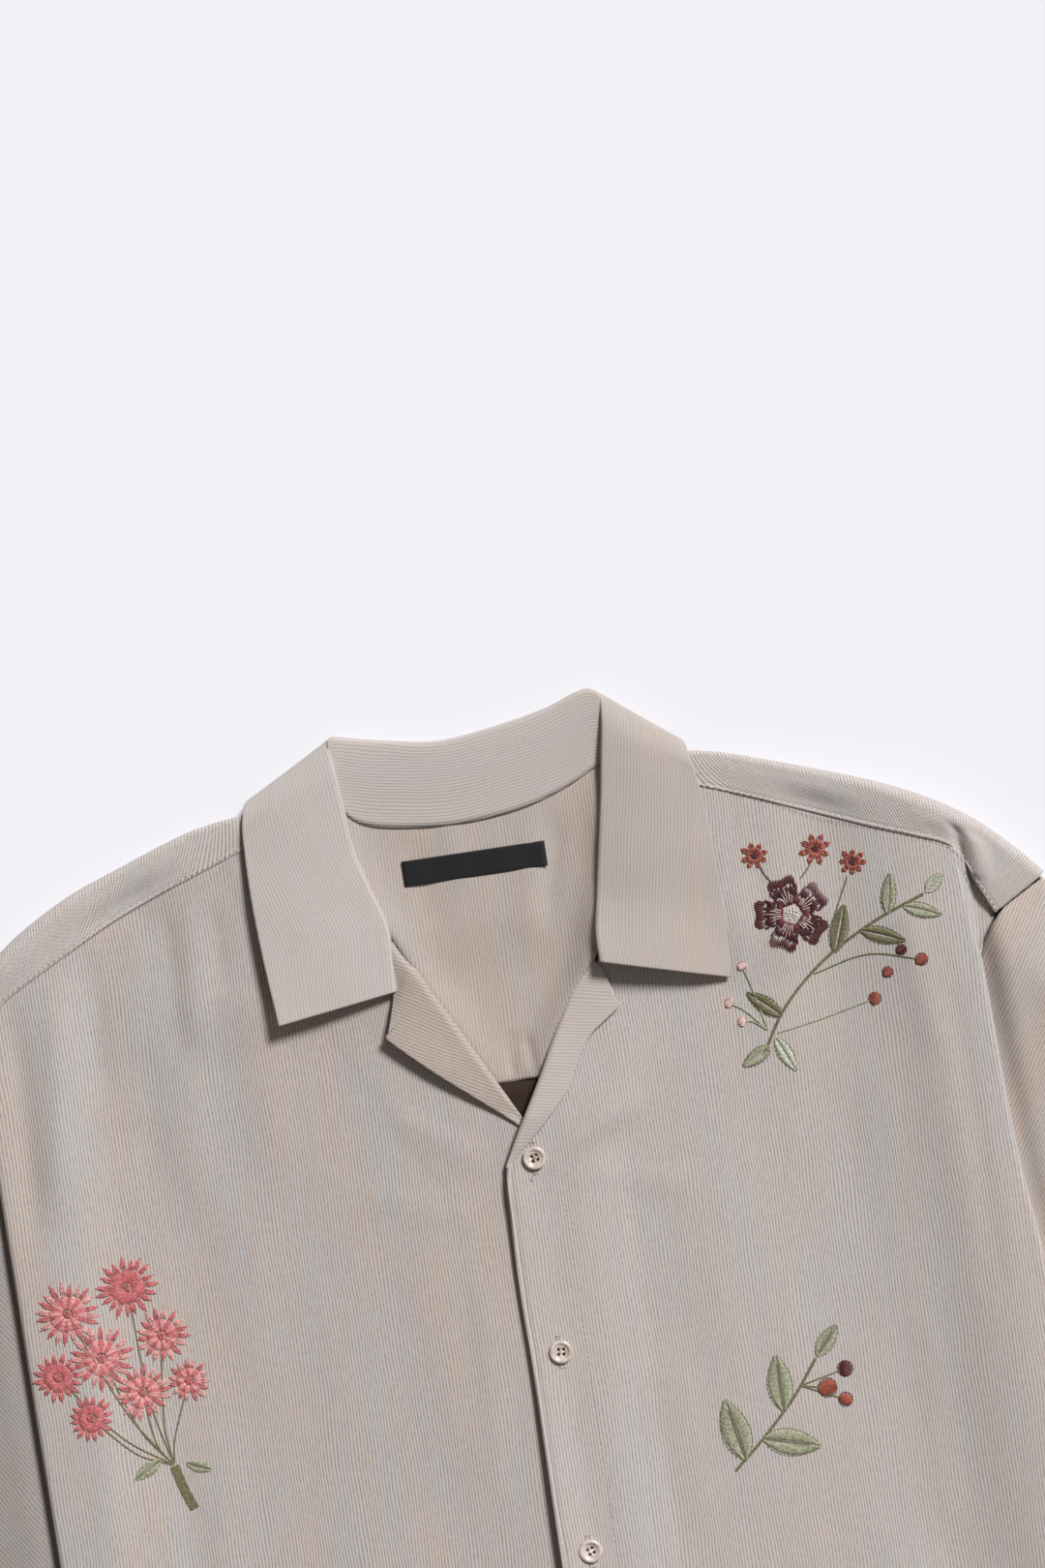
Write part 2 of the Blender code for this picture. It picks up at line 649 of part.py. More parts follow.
def make_collar(material):
    """One band: stand, roll line and fall, over the fronts and round behind the neck."""
    sections = 38
    rows = [collar_section(row_along(COLLAR_ROWS, i / sections)) for i in range(sections + 1)]
    return grid_object("collar", rows, material, COLLAR_WALL, even=False)


def lapel_section(side, row):
    """The lapel's section: out of the front's inner edge, round the roll line and out to its edge."""
    out_r, out_o = side.sign * row.rx, side.sign * row.ox
    width = math.hypot(out_o - out_r, row.oy - row.ry)
    across = ((out_o - out_r) / width, (row.oy - row.ry) / width)
    low = front_height(side, max(out_r, row_at(side.inner, row.ry).x), row.ry)
    radius = min(1.8, 0.75 + 0.1 * width)
    start = (out_r + across[0] * radius, row.ry + across[1] * radius)
    points = []
    for i in range(6):
        angle = mix(-math.pi / 2, math.pi / 2, i / 5)
        reach = radius * math.cos(angle)
        points.append(
            (
                start[0] - across[0] * reach,
                start[1] - across[1] * reach,
                low + radius * (1 + math.sin(angle)),
            )
        )
    edge_z = front_height(side, out_o, row.oy) + row.edge_lift
    top = low + 2 * radius
    for i in range(1, 5):
        share = i / 4
        z = mix(top, edge_z, smooth(share))
        reach = mix(radius, width, share)
        points.append((out_r + across[0] * reach, row.ry + across[1] * reach, z))
    return [(side.sign * out, y, z) for out, y, z in points]


def make_lapel(side, material):
    """The part of a facing that is turned out over its front as the lapel."""
    steps = 16
    rows = [lapel_section(side, row_along(side.lapel, i / steps)) for i in range(steps + 1)]
    return grid_object("facing_" + side.name, rows, material, WALL)


def make_front(side, material):
    return grid_object("front_" + side.name, front_rows(side), material, WALL)


def sleeve_lines(side):
    """The sleeve's armhole line, outer edge and underarm edge, in plan."""
    shift = side.sleeve_shift
    outer = [(x + shift + SEAM_GAP, y) for x, y in SLEEVE_OUTER]
    (x0, y0), (x1, y1) = outer[-2], outer[-1]
    length = math.hypot(x1 - x0, y1 - y0)
    inwards = ((y1 - y0) / length, -(x1 - x0) / length)
    end = (x1 + inwards[0] * SLEEVE_END_WIDTH, y1 + inwards[1] * SLEEVE_END_WIDTH)
    underarm = side.armhole()[-1]
    middle = (mix(underarm[0], end[0], 0.5) - 3, mix(underarm[1], end[1], 0.5) - 3)
    return side.armhole(), outer, [underarm, middle, end]


def sleeve_plan(side, across, along):
    """The point of the flat sleeve at shares across and along it."""
    armhole, outer, inner = sleeve_lines(side)
    a, b = point_along(outer, along), point_along(inner, along)
    straight = mix_point(armhole[0], armhole[-1], across)
    curve = point_along(armhole, across)
    keep = (1 - along) ** 4
    return tuple(mix(p, q, across) + (c - s) * keep for p, q, c, s in zip(a, b, curve, straight))


def sleeve_top(side, across, along):
    """The height of the sleeve's upper layer: low beside the body, full where it is clear of it."""
    x, y = sleeve_plan(side, across, along)
    clear = x - row_at(side.edge, y).crease
    edge = smooth(across / 0.16) * smooth((1 - across) / 0.16)
    z = SLEEVE_TOP_Z + 4.4 * smooth((clear - 4) / 60) * edge * mix(1.0, 0.45, along)
    for fold in SLEEVE_FOLDS:
        ends = (
            sleeve_plan(side, fold.across0, fold.along0),
            sleeve_plan(side, fold.across1, fold.along1),
        )
        z += smooth((clear - 8) / 30) * edge * ridge(ends, fold.half_width, fold.height, x, y)
    return z


def sleeve_loop(side, along, top_steps=10, low_steps=SLEEVE_LOW_STEPS, edge_steps=3):
    """One loop round the flattened sleeve."""
    first, last = sleeve_plan(side, 0, along), sleeve_plan(side, 1, along)
    width = math.dist(first, last)
    inset = SLEEVE_EDGE_RADIUS / width
    points = []
    for i in range(top_steps + 1):
        across = mix(inset, 1 - inset, i / top_steps)
        x, y = sleeve_plan(side, across, along)
        points.append((side.sign * x, y, sleeve_top(side, across, along)))
    for end, start in ((1, 1 - inset), (0, inset)):
        x, y = sleeve_plan(side, start, along)
        far = sleeve_plan(side, end, along)
        unit = ((far[0] - x) / SLEEVE_EDGE_RADIUS, (far[1] - y) / SLEEVE_EDGE_RADIUS)
        arc = []
        for k in range(1, edge_steps):
            angle = math.pi * k / edge_steps
            reach = SLEEVE_EDGE_RADIUS * math.sin(angle)
            z = FLOOR_MID + SLEEVE_EDGE_RADIUS * (1 + math.cos(angle))
            arc.append((side.sign * (x + unit[0] * reach), y + unit[1] * reach, z))
        if end == 1:
            points.extend(arc)
            for i in range(low_steps + 1):
                across = mix(1 - inset, inset, i / low_steps)
                px, py = sleeve_plan(side, across, along)
                points.append((side.sign * px, py, FLOOR_MID))
        else:
            points.extend(reversed(arc))
    return points


def make_sleeve(side, material):
    """A sleeve laid flat: a tube from the armhole to the cuff, lying on the surface."""
    steps = 17
    rows = [sleeve_loop(side, (i / steps) ** 1.15) for i in range(steps + 1)]
    return grid_object("sleeve_" + side.name, rows, material, WALL, closed=True)


def cuff_frame(side):
    """The cuff's start corner, its direction down the arm and its direction across, in plan."""
    armhole, outer, inner = sleeve_lines(side)
    across = (inner[-1][0] - outer[-1][0], inner[-1][1] - outer[-1][1])
    width = math.hypot(*across)
    across = (across[0] / width, across[1] / width)
    down = (-across[1], across[0])
    if down[1] > 0:
        down = (-down[0], -down[1])
    gap = (SLEEVE_END_WIDTH - CUFF_WIDTH) / 2
    start = tuple(outer[-1][k] + across[k] * gap + down[k] * SEAM_GAP for k in range(2))
    return start, down, across


def cuff_point(side, across, down):
    """A point of the cuff in plan, at distances across it and down it from its start corner."""
    start, down_way, across_way = cuff_frame(side)
    x = start[0] + across_way[0] * across + down_way[0] * down
    y = start[1] + across_way[1] * across + down_way[1] * down
    return side.sign * x, y


def make_cuff(side, material):
    """The cuff: one band wrapped flat round the sleeve's end, its ends lapped where it is buttoned."""
    radius, low, lap_start, lap_end = 1.9, CUFF_WALL / 2, 48.0, 26.0
    inner_z = low + 2 * radius
    outer_z = inner_z + CUFF_WALL + SEAM_GAP
    path = [(lap_end, inner_z), (16, inner_z), (8, inner_z), (radius, inner_z)]
    for k in range(1, 5):
        angle = mix(math.pi / 2, 3 * math.pi / 2, k / 5)
        path.append((radius + radius * math.cos(angle), low + radius + radius * math.sin(angle)))
    path += [(radius, low), (40, low), (80, low), (CUFF_WIDTH - radius, low)]
    for k in range(1, 5):
        angle = mix(-math.pi / 2, math.pi / 2, k / 5)
        reach, rise = radius * math.cos(angle), radius * math.sin(angle)
        path.append((CUFF_WIDTH - radius + reach, low + radius + rise))
    path += [(CUFF_WIDTH - radius, inner_z), (88, inner_z), (64, inner_z), (lap_start, inner_z)]
    path += [(42, mix(inner_z, outer_z, 0.35)), (34, outer_z), (24, outer_z), (12, outer_z)]
    rows = []
    for down in (0.0, 14.0, 38.0, CUFF_LENGTH):
        rows.append([cuff_point(side, across, down) + (z,) for across, z in path])
    return grid_object("cuff_" + side.name, rows, material, CUFF_WALL)


def button_object(name, x, y, z, material):
    """A turned button with a raised rim and four thread holes."""
    segments = 12
    profile = (
        (BUTTON_RADIUS - 0.6, 0.0),
        (BUTTON_RADIUS, BUTTON_HEIGHT - 0.6),
        (BUTTON_RADIUS - 0.7, BUTTON_HEIGHT),
        (BUTTON_RADIUS - 1.7, BUTTON_HEIGHT - 0.1),
        (BUTTON_RADIUS - 2.3, BUTTON_HEIGHT - 0.8),
    )
    holes, hole_radius, hole_sides = 1.75, 0.75, 5
    made = bmesh.new()
    rings = []
    for radius, height in profile:
        ring = []
        for k in range(segments):
            angle = 2 * math.pi * k / segments
            point = (radius * math.cos(angle) * MM, radius * math.sin(angle) * MM, height * MM)
            ring.append(made.verts.new(point))
        rings.append(ring)
    for low, high in zip(rings, rings[1:]):
        for k in range(segments):
            made.faces.new((low[k], low[(k + 1) % segments], high[(k + 1) % segments], high[k]))
    made.faces.new(list(reversed(rings[0])))
    made.faces.new(rings[-1])
    mesh = bpy.data.meshes.new(name)
    made.to_mesh(mesh)
    made.free()
    mesh.materials.append(material)
    obj = bpy.data.objects.new(name, mesh)
    bpy.context.scene.collection.objects.link(obj)
    obj.location = (x * MM, y * MM, z * MM)
    if "thread_holes" not in bpy.data.objects:
        cutter = bmesh.new()
        for k in range(4):
            angle = math.pi / 4 + k * math.pi / 2
            tool = bmesh.ops.create_cone(
                cutter,
                cap_ends=True,
                segments=hole_sides,
                radius1=hole_radius * MM,
                radius2=hole_radius * MM,
                depth=3 * BUTTON_HEIGHT * MM,
            )
            shift = (holes * math.cos(angle) * MM, holes * math.sin(angle) * MM, 0)
            bmesh.ops.translate(cutter, verts=tool["verts"], vec=shift)
        cutter_mesh = bpy.data.meshes.new("thread_holes")
        cutter.to_mesh(cutter_mesh)
        cutter.free()
        holder = bpy.data.objects.new("thread_holes", cutter_mesh)
        holder.hide_render = True
        holder.display_type = "WIRE"
        bpy.context.scene.collection.objects.link(holder)
    tool_copy = bpy.data.objects.new(name + "_holes", bpy.data.objects["thread_holes"].data)
    tool_copy.location = obj.location
    tool_copy.hide_render = True
    tool_copy.display_type = "WIRE"
    bpy.context.scene.collection.objects.link(tool_copy)
    cut = obj.modifiers.new("holes", "BOOLEAN")
    cut.operation = "DIFFERENCE"
    cut.object = tool_copy
    return obj


def front_button_places():
    """The buttons down the front, each on the overlapping front's wall."""
    places = []
    for i in range(BUTTON_COUNT):
        x, y = (1.2, -2.6) if i == 0 else (0.0, -BUTTON_PITCH * i)
        places.append((x, y, front_height(WEARERS_LEFT, x, y) + WALL / 2 + SEAM_GAP + 0.15))
    return places


def cuff_button_place(side):
    """The cuff's button, in the middle of its lapped end."""
    low = CUFF_WALL / 2 + 2 * 1.9 + CUFF_WALL + SEAM_GAP
    x, y = cuff_point(side, 20.0, CUFF_LENGTH / 2)
    return x, y, low + CUFF_WALL / 2 + SEAM_GAP


def make_label(material):
    """The blank woven label, stitched inside the yoke below the neck seam."""
    z = yoke_low_height(*LABEL_CENTRE) + WALL / 2 + SEAM_GAP + LABEL_WALL / 2
    rows = []
    for k in (-0.5, 0.5):
        y = LABEL_CENTRE[1] + k * LABEL_SIZE[1]
        rows.append([(LABEL_CENTRE[0] + s * LABEL_SIZE[0], y, z) for s in (-0.5, 0.0, 0.5)])
    return grid_object("label", rows, material, LABEL_WALL)


def centre_on_origin(objects):
    """Hangs the pieces on one empty, moved so that the middle of their box's underside is the origin."""
    bpy.context.view_layer.update()
    graph = bpy.context.evaluated_depsgraph_get()
    corners = []
    for obj in objects:
        evaluated = obj.evaluated_get(graph)
        matrix = evaluated.matrix_world
        corners.extend(matrix @ v.co for v in evaluated.to_mesh().vertices)
        evaluated.to_mesh_clear()
    holder = bpy.data.objects.new("shirt", None)
    bpy.context.scene.collection.objects.link(holder)
    holder.location = (
        -(min(c.x for c in corners) + max(c.x for c in corners)) / 2,
        -(min(c.y for c in corners) + max(c.y for c in corners)) / 2,
        -min(c.z for c in corners),
    )
    for obj in bpy.context.scene.objects:
        if obj.type == "MESH":
            obj.parent = holder


def main():
    for obj in list(bpy.data.objects):
        bpy.data.objects.remove(obj)
    cloth = cloth_material("shirt_cloth", CLOTH)
    collar_cloth = cloth_material("collar_cloth", CLOTH_LIGHT)
    label_weave = cloth_material("label_weave", LABEL_BLACK, roughness=0.6)
    button_resin = cloth_material("button_resin", BUTTON_BEIGE, roughness=0.35)
    pieces = [make_back(cloth), make_yoke(cloth)]
    for side in (WEARERS_LEFT, WEARERS_RIGHT):
        pieces.append(make_front(side, cloth))
        pieces.append(make_lapel(side, collar_cloth))
        pieces.append(make_sleeve(side, cloth))
        pieces.append(make_cuff(side, collar_cloth))
        pieces.append(button_object("cuff_button_" + side.name, *cuff_button_place(side), button_resin))
    pieces.append(make_collar(collar_cloth))
    pieces.append(make_label(label_weave))
    for i, place in enumerate(front_button_places()):
        pieces.append(button_object(f"button_{i + 1}", *place, button_resin))
    centre_on_origin(pieces)


main()
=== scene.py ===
"""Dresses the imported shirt: ribbed cloth with its folds, seams, stitching, buttons and embroidery, then a
pale floor, soft studio light and a camera straight above it.

The tables are in millimetres in the shirt's own axes: x = 0 on the button line, positive towards the
wearer's left, y = 0 at the top button, positive towards the collar, and z = 0 on the surface below. "Out"
is a distance from the button line towards either side. The tables down to SLEEVE_OUTER repeat the part's,
but for the lapels, whose ends and edges go a little further here. The ones after it are the cloth's own.
"""

import math

import bpy
import numpy as np
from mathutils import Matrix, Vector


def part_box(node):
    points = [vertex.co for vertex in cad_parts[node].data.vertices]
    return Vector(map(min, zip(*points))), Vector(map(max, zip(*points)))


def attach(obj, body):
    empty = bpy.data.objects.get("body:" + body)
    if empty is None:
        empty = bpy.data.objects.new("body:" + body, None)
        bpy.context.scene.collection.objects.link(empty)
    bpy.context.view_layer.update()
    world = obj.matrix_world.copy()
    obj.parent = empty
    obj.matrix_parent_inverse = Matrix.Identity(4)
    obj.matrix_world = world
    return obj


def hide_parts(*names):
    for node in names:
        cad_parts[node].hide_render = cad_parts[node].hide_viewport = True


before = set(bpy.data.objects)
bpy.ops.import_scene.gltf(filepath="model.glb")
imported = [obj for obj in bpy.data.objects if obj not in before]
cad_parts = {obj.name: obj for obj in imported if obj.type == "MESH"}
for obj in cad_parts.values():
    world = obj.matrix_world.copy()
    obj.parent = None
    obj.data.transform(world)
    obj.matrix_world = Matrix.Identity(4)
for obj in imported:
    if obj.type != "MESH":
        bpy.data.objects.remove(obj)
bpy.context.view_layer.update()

MM = 0.001

# The shirt's sizes, as in the part. FLOOR_MID is the middle of a layer that lies on the surface.
HEM_Y = -560.0
YOKE_SEAM_Y = 36.0
FLOOR_MID = 0.6
FRONT_Z = 2.5
SEAM_GAP = 0.3
SLEEVE_TOP_Z = 4.1
SLEEVE_EDGE_RADIUS = 1.7
BUTTON_PITCH = 98.7
LABEL_SIZE = (71.0, 12.5)
LABEL_CENTRE = (-6.6, 144.4)
CUFF_LENGTH = 62.0
CUFF_WIDTH = 116.0
SLEEVE_END_WIDTH = 126.0
LEFT_SIDE_SHIFT = 18.0

# The cloth's own sizes. WALL is half its thickness, and EDGE_WALL half of it at the yoke's turned edge.
WALL = 0.6
EDGE_WALL = 0.36
COLLAR_WALL = 0.7
LABEL_WALL = 0.3
FOLD_RADIUS = 2.3
CUFF_RADIUS = 1.9
CUFF_LOW = 0.8
CUFF_LAP = (48.0, 26.0)

# The fronts: the band before the crease where the cloth rises, the placket's bands and its rolled edge.
RISE_BAND = (78.0, 66.0)
LIFT_BAND = (62.0, 30.0)
FACING_WIDTH = 58.0
FACING_WALL = 0.3
HEM_DEPTH = 20.5
HEM_WALL = 0.35
PLACKET_CURL = 2.2
PLACKET_ROLL = 2.2
PLACKET_LIP = 1.5
ARMHOLE_DENT = 4.4

# The collar: how it lifts the cloth under it, from COLLAR_FROM up and COLLAR_REACH to each side of COLLAR_X,
# and its leaf's lifted roll and sagging corner.
COLLAR_RISE = 2.1
COLLAR_FROM = 84
COLLAR_REACH = 152
COLLAR_X = -4
CORNER_LIFT = 4.6
CORNER_SAG = 3.6
FLAP_LIP = 1.6

# How finely the pieces are divided, and how often a front's top is fitted to the shoulder seam.
FRONT_COLUMNS, FRONT_ROWS, FRONT_WIDTH = 94, 210, 262.0
ARC_STEPS, TAIL_STEPS, SEAM_FITS = 10, 8, 14
BACK_ROWS, BACK_COLUMNS = 90, 60
SHOULDER_COLUMNS, SHOULDER_ARC = 110, 15
YOKE_ROWS, NECK_COLUMNS = 110, 150
COLLAR_SECTIONS, STAND_STEPS, ROLL_STEPS, FALL_STEPS = 190, 14, 12, 30
LAPEL_ROWS, LAPEL_ARC, LAPEL_STEPS = 96, 13, 22
SLEEVE_ROWS, SLEEVE_TOP_COLUMNS, SLEEVE_LOW_COLUMNS, SLEEVE_TURN = 130, 67, 25, 9

# The machine stitches: where the rows run from the hem, the yoke's, the placket's and the cuffs' edges, and
# the size of the buttonholes' stitching.
STITCH_LENGTH = 2.3
STITCH_GAP = 0.75
STITCH_RADIUS = 0.2
STITCH_SINK = 0.12
HEM_SEAM = 20
YOKE_SEAM = 1.9
SHOULDER_SEAM = 8.5
PLACKET_SEAM = 13.0
CUFF_SEAM = 2.0
BUTTONHOLE_HALF_WIDTH = 0.85
BUTTONHOLE_REACH = (4.4, 7.7, 7.9)
BAR_HALF = 0.75

# The weave, in millimetres.
RIB_PITCH = 1.58
CROSS_PITCH = 1.25

# The light and the camera. Angles are in degrees.
WORLD_COLOUR, WORLD_STRENGTH = (1.0, 0.88, 0.79, 1), 0.15
KEY_STRENGTH, KEY_SPREAD, KEY_HEIGHT, KEY_TURN = 3.92, 15, 43, 50
FILL_STRENGTH, FILL_SPREAD, FILL_HEIGHT, FILL_TURN = 0.16, 50, 32, -52
LENS, SENSOR = 85, 36
CAMERA_AIM = (22.5, 179.6, 0)
CAMERA_Z = 1.823
CAMERA_ROLL = -8.5
FLOOR_SIZE, FLOOR_DROP = 8, 0.0002

# The side of the body from hem to shoulder: y, crease, seam, seam_z, top_z.
EDGE_WEARERS_LEFT = (
    (-560, 254, 224, 0.9, 6.8),
    (-420, 251, 221, 0.9, 6.9),
    (-320, 248, 216, 1.0, 7.5),
    (-262, 247, 211, 2.6, 9.6),
    (-215, 246, 207, 5.2, 11.8),
    (-178, 245, 204.4, 5.6, 12.4),
    (-88, 241, 207, 5.7, 12.6),
    (-39, 236, 208, 5.7, 12.6),
    (0, 234, 211, 5.7, 12.6),
    (35, 233, 220, 5.7, 12.6),
    (61, 232, 231, 5.6, 12.4),
    (82, 230, 242, 5.2, 11.6),
    (103, 229, 252, 5.0, 10.4),
    (122, 227.5, 258, 5.0, 9.4),
)

EDGE_WEARERS_RIGHT = (
    (-560, 268, 238, 0.9, 6.8),
    (-420, 265, 235, 0.9, 6.9),
    (-320, 261, 232, 1.0, 7.5),
    (-262, 259, 229, 2.6, 9.6),
    (-215, 258, 225, 5.2, 11.8),
    (-178, 257.5, 222.4, 5.6, 12.4),
    (-88, 258.5, 225, 5.7, 12.6),
    (-39, 259, 226, 5.7, 12.6),
    (0, 259.5, 229, 5.7, 12.6),
    (35, 259.5, 238, 5.7, 12.6),
    (61, 257.5, 249, 5.6, 12.4),
    (82, 254, 260, 5.2, 11.6),
    (103, 251, 270, 5.0, 10.4),
    (122, 248, 276, 5.0, 9.4),
)

# The inner edge of each front: y, out.
INNER_WEARERS_LEFT = (
    (-560, -15),
    (-120, -15),
    (-30, -12.6),
    (-5, -10.6),
    (10, -1.8),
    (19, 3.6),
    (37, 13.2),
    (50, 20),
    (63, 27.4),
    (81, 40.6),
    (90, 46.6),
    (100, 51.5),
    (130, 61),
    (155, 66),
    (178, 68),
)

INNER_WEARERS_RIGHT = (
    (-560, -15),
    (-40, -15),
    (-14, -13),
    (4, -2),
    (16, 4.6),
    (33, 13),
    (49, 21.4),
    (72, 33.4),
    (93, 44.6),
    (112, 53.6),
    (135, 64),
    (158, 71),
    (180, 73),
)

# The placket's lift over what lies under it: y, lift.
PLACKET_LIFT = (
    (-560, 1.9),
    (-300, 2.2),
    (-200, 2.9),
    (-100, 2.3),
    (-30, 2.6),
    (12, 3.9),
    (40, 2.8),
    (80, 1.0),
    (108, 0.0),
)

# The shoulder's outline and the front edge of the yoke: x, y, edge_x, edge_y, z.
SHOULDER_WEARERS_LEFT = (
    (77, 188, 76, 173, 6.2),
    (90, 186, 89, 170.5, 6.2),
    (105, 183.5, 105, 166.5, 6.2),
    (125, 179, 130, 157.5, 6.2),
    (161, 167, 162, 144.5, 7.0),
    (191, 156, 190, 133, 9.2),
    (212, 146.5, 210, 125.5, 11.2),
    (227, 138, 224, 119.5, 11.8),
    (237, 131, 231, 110, 11.2),
    (247, 122.5, 234, 101, 10.2),
    (259, 110.5, 238, 92, 9.9),
    (268.8, 99.4, 242.2, 82.8, 8.8),
)

SHOULDER_WEARERS_RIGHT = (
    (82, 189, 81, 175, 6.2),
    (96, 187, 95, 172.5, 6.2),
    (114, 184.5, 113, 169, 6.2),
    (144, 179.7, 145, 158, 6.2),
    (181, 167, 181, 144.5, 7.0),
    (206, 157.5, 207, 131.5, 9.2),
    (230, 144.5, 228, 120.5, 11.2),
    (246, 133, 243, 112, 11.8),
    (257, 125, 251, 104, 11.2),
    (266, 117, 254, 97, 10.7),
    (277, 108.5, 256.6, 90.6, 10.5),
    (286.8, 99.4, 260.2, 82.8, 8.8),
)

# Folds of the fronts, each from a point to a point: x0, y0, x1, y1, half_width, height.
FRONT_FOLDS = (
    (-222, 118, -238, -60, 11, 1.5),
    (-205, 120, -212, -30, 9, -1.0),
    (-160, 138, -168, -20, 14, 1.6),
    (-186, 130, -192, 30, 9, 1.0),
    (-128, 120, -120, -10, 13, 0.9),
    (-176, -60, -182, -330, 15, 1.8),
    (-96, -150, -88, -420, 18, 1.2),
    (-215, -190, -205, -500, 16, 1.5),
    (-50, 0, -58, -170, 16, 0.8),
    (170, 60, 174, -150, 16, 1.4),
    (92, 20, 84, -220, 18, 1.0),
    (138, 130, 132, 10, 12, 0.8),
    (205, 80, 214, -170, 12, 1.3),
    (150, -180, 158, -440, 18, 1.6),
    (60, -240, 70, -500, 18, 1.2),
    (212, -230, 206, -500, 16, 1.5),
)

# The collar from the wearer's right to left: where it is sewn on (ax, ay, az), its roll (rx, ry), its outer
# edge (ox, oy, oz), stand_z, fall_z, bulge.
COLLAR_ROWS = (
    (-62, 90, 6.2, -54, 88, -112.8, 80, 15, 6.3, 10.2, 0.6),
    (-64, 103, 6.2, -53.6, 103, -114.4, 97, 14.2, 6.3, 10.2, 0.8),
    (-68, 121, 6.2, -53.5, 121, -116, 116, 13.2, 6.3, 10.2, 1),
    (-74, 140, 6.2, -59, 140, -117.2, 139, 12, 6.3, 10.2, 1),
    (-77, 160, 6.2, -64.3, 160, -117.4, 158, 10.8, 6.3, 10, 0.8),
    (-78, 176, 6.2, -66.3, 182, -117, 174, 9.8, 6.3, 9.8, 0.6),
    (-75.5, 184, 6.2, -68, 200, -115.8, 183.5, 9, 6.4, 9, 0.3),
    (-72.5, 185.5, 5.9, -69.3, 212, -113, 190.5, 4.9, 6.3, 5.8, 0),
    (-69, 183.5, 5.2, -67, 215.6, -104, 190.5, 1.1, 6, 2.2, 0),
    (-61.5, 173.5, 4.8, -60, 214.2, -92, 166, 1.1, 5.6, 1.1, 0),
    (-45, 168, 4.4, -44, 210.6, -62, 143, 1.1, 5.3, 1.1, 0),
    (-14, 165, 4.4, -14.5, 206.2, -16, 135, 1.1, 5.3, 1.1, 0),
    (18, 167.5, 4.4, 17, 209.8, 26, 139, 1.1, 5.3, 1.1, 0),
    (42, 174.5, 4.4, 40, 214.6, 62, 149, 1.1, 5.3, 1.1, 0),
    (57, 181.5, 4.8, 54, 219.6, 84, 168, 1.1, 5.6, 1.1, 0),
    (64, 184, 5.2, 61.8, 220.6, 93.6, 190.8, 1.1, 6, 2.2, 0),
    (69, 184.5, 5.9, 66.2, 216, 103.4, 188.6, 4.9, 6.3, 5.8, 0),
    (72, 182, 6.6, 65.6, 204, 105.4, 179.4, 9.1, 6.7, 9.5, 0.4),
    (74, 172, 6.6, 63, 188, 107.6, 170, 9.8, 6.7, 10.3, 0.8),
    (72, 156, 6.6, 59.8, 168, 109.4, 153, 9.9, 6.7, 10.7, 1.3),
    (69, 138, 6.6, 55.2, 143, 110.8, 131, 9.9, 6.7, 11.4, 2.2),
    (65, 119, 6.6, 50.6, 119, 111.4, 108, 9.6, 6.7, 12, 2.8),
    (60, 103, 6.6, 47.6, 102, 110.9, 88, 9.5, 6.7, 12.8, 3.2),
    (56, 91, 6.6, 47.5, 88, 109.5, 70.6, 9.3, 6.7, 13.8, 3.2),
)

# The lapels from the top button up: the roll (rx, ry), the outer edge (ox, oy), edge_lift.
LAPEL_WEARERS_LEFT = (
    (-13.0, -5.8, -10.6, -6.2, 0.5),
    (-11.6, -2.6, -8.8, -2.4, 0.7),
    (-5.2, 9.6, 1.0, 6.4, 1.8),
    (1.0, 20.4, 12.0, 17.0, 3.0),
    (10.5, 37.0, 22.5, 28.6, 3.0),
    (17.2, 50.0, 29.2, 41.0, 3.0),
    (24.5, 63.0, 37.0, 52.6, 3.2),
    (31.4, 74.9, 52.9, 64.6, 3.6),
    (33.0, 77.0, 52.4, 68.0, 3.6),
    (38.6, 84.0, 50.6, 75.4, 3.6),
    (43.0, 90.4, 47.4, 85.6, 3.2),
)

LAPEL_WEARERS_RIGHT = (
    (-1.2, 15.2, -3.4, 13.4, 2.0),
    (-5.4, 23.6, -12.4, 21.4, 2.8),
    (-11.0, 34.6, -22.6, 30.0, 4.4),
    (-18.4, 49.2, -34.6, 40.2, 6.2),
    (-26.0, 64.4, -46.4, 50.6, 7.2),
    (-36.0, 83.6, -61.2, 65.0, 7.6),
    (-37.6, 86.8, -60.8, 68.2, 7.2),
    (-42.2, 96.0, -57.4, 79.0, 5.0),
    (-46.4, 101.2, -55.6, 87.6, 3.4),
    (-50.0, 107.0, -59.5, 95.0, 2.4),
    (-52.6, 112.4, -59.5, 103.0, 1.8),
)

# Folds of the sleeves, in shares: across0, along0, across1, along1, half_width, height.
SLEEVE_FOLDS = (
    (0.12, 0.03, 0.34, 0.42, 10, 2.6),
    (0.42, 0.16, 0.60, 0.62, 11, 2.8),
    (0.72, 0.34, 0.55, 0.66, 10, 2.2),
    (0.24, 0.50, 0.78, 0.60, 9, 2.4),
    (0.22, 0.62, 0.66, 0.74, 8, 2.0),
    (0.30, 0.99, 0.36, 0.80, 6, 2.4),
    (0.46, 0.99, 0.50, 0.78, 6, 2.6),
    (0.64, 0.99, 0.62, 0.82, 6, 2.2),
)

# Seams as lines of x, y points.
NECK_SEAM = ((-72, 187), (-61, 177), (-42, 169.5), (-14, 167), (14, 169.5), (42, 177), (58, 184), (68, 187))
ARMHOLE = (
    (270, 98), (256, 90.5), (243, 82), (231, 61), (220, 35), (211, 0), (208, -39), (207, -88), (205, -178),
)
SLEEVE_OUTER = ((270, 98), (301, 59), (355, -25), (410, -109), (464, -193), (519, -277), (554, -331))

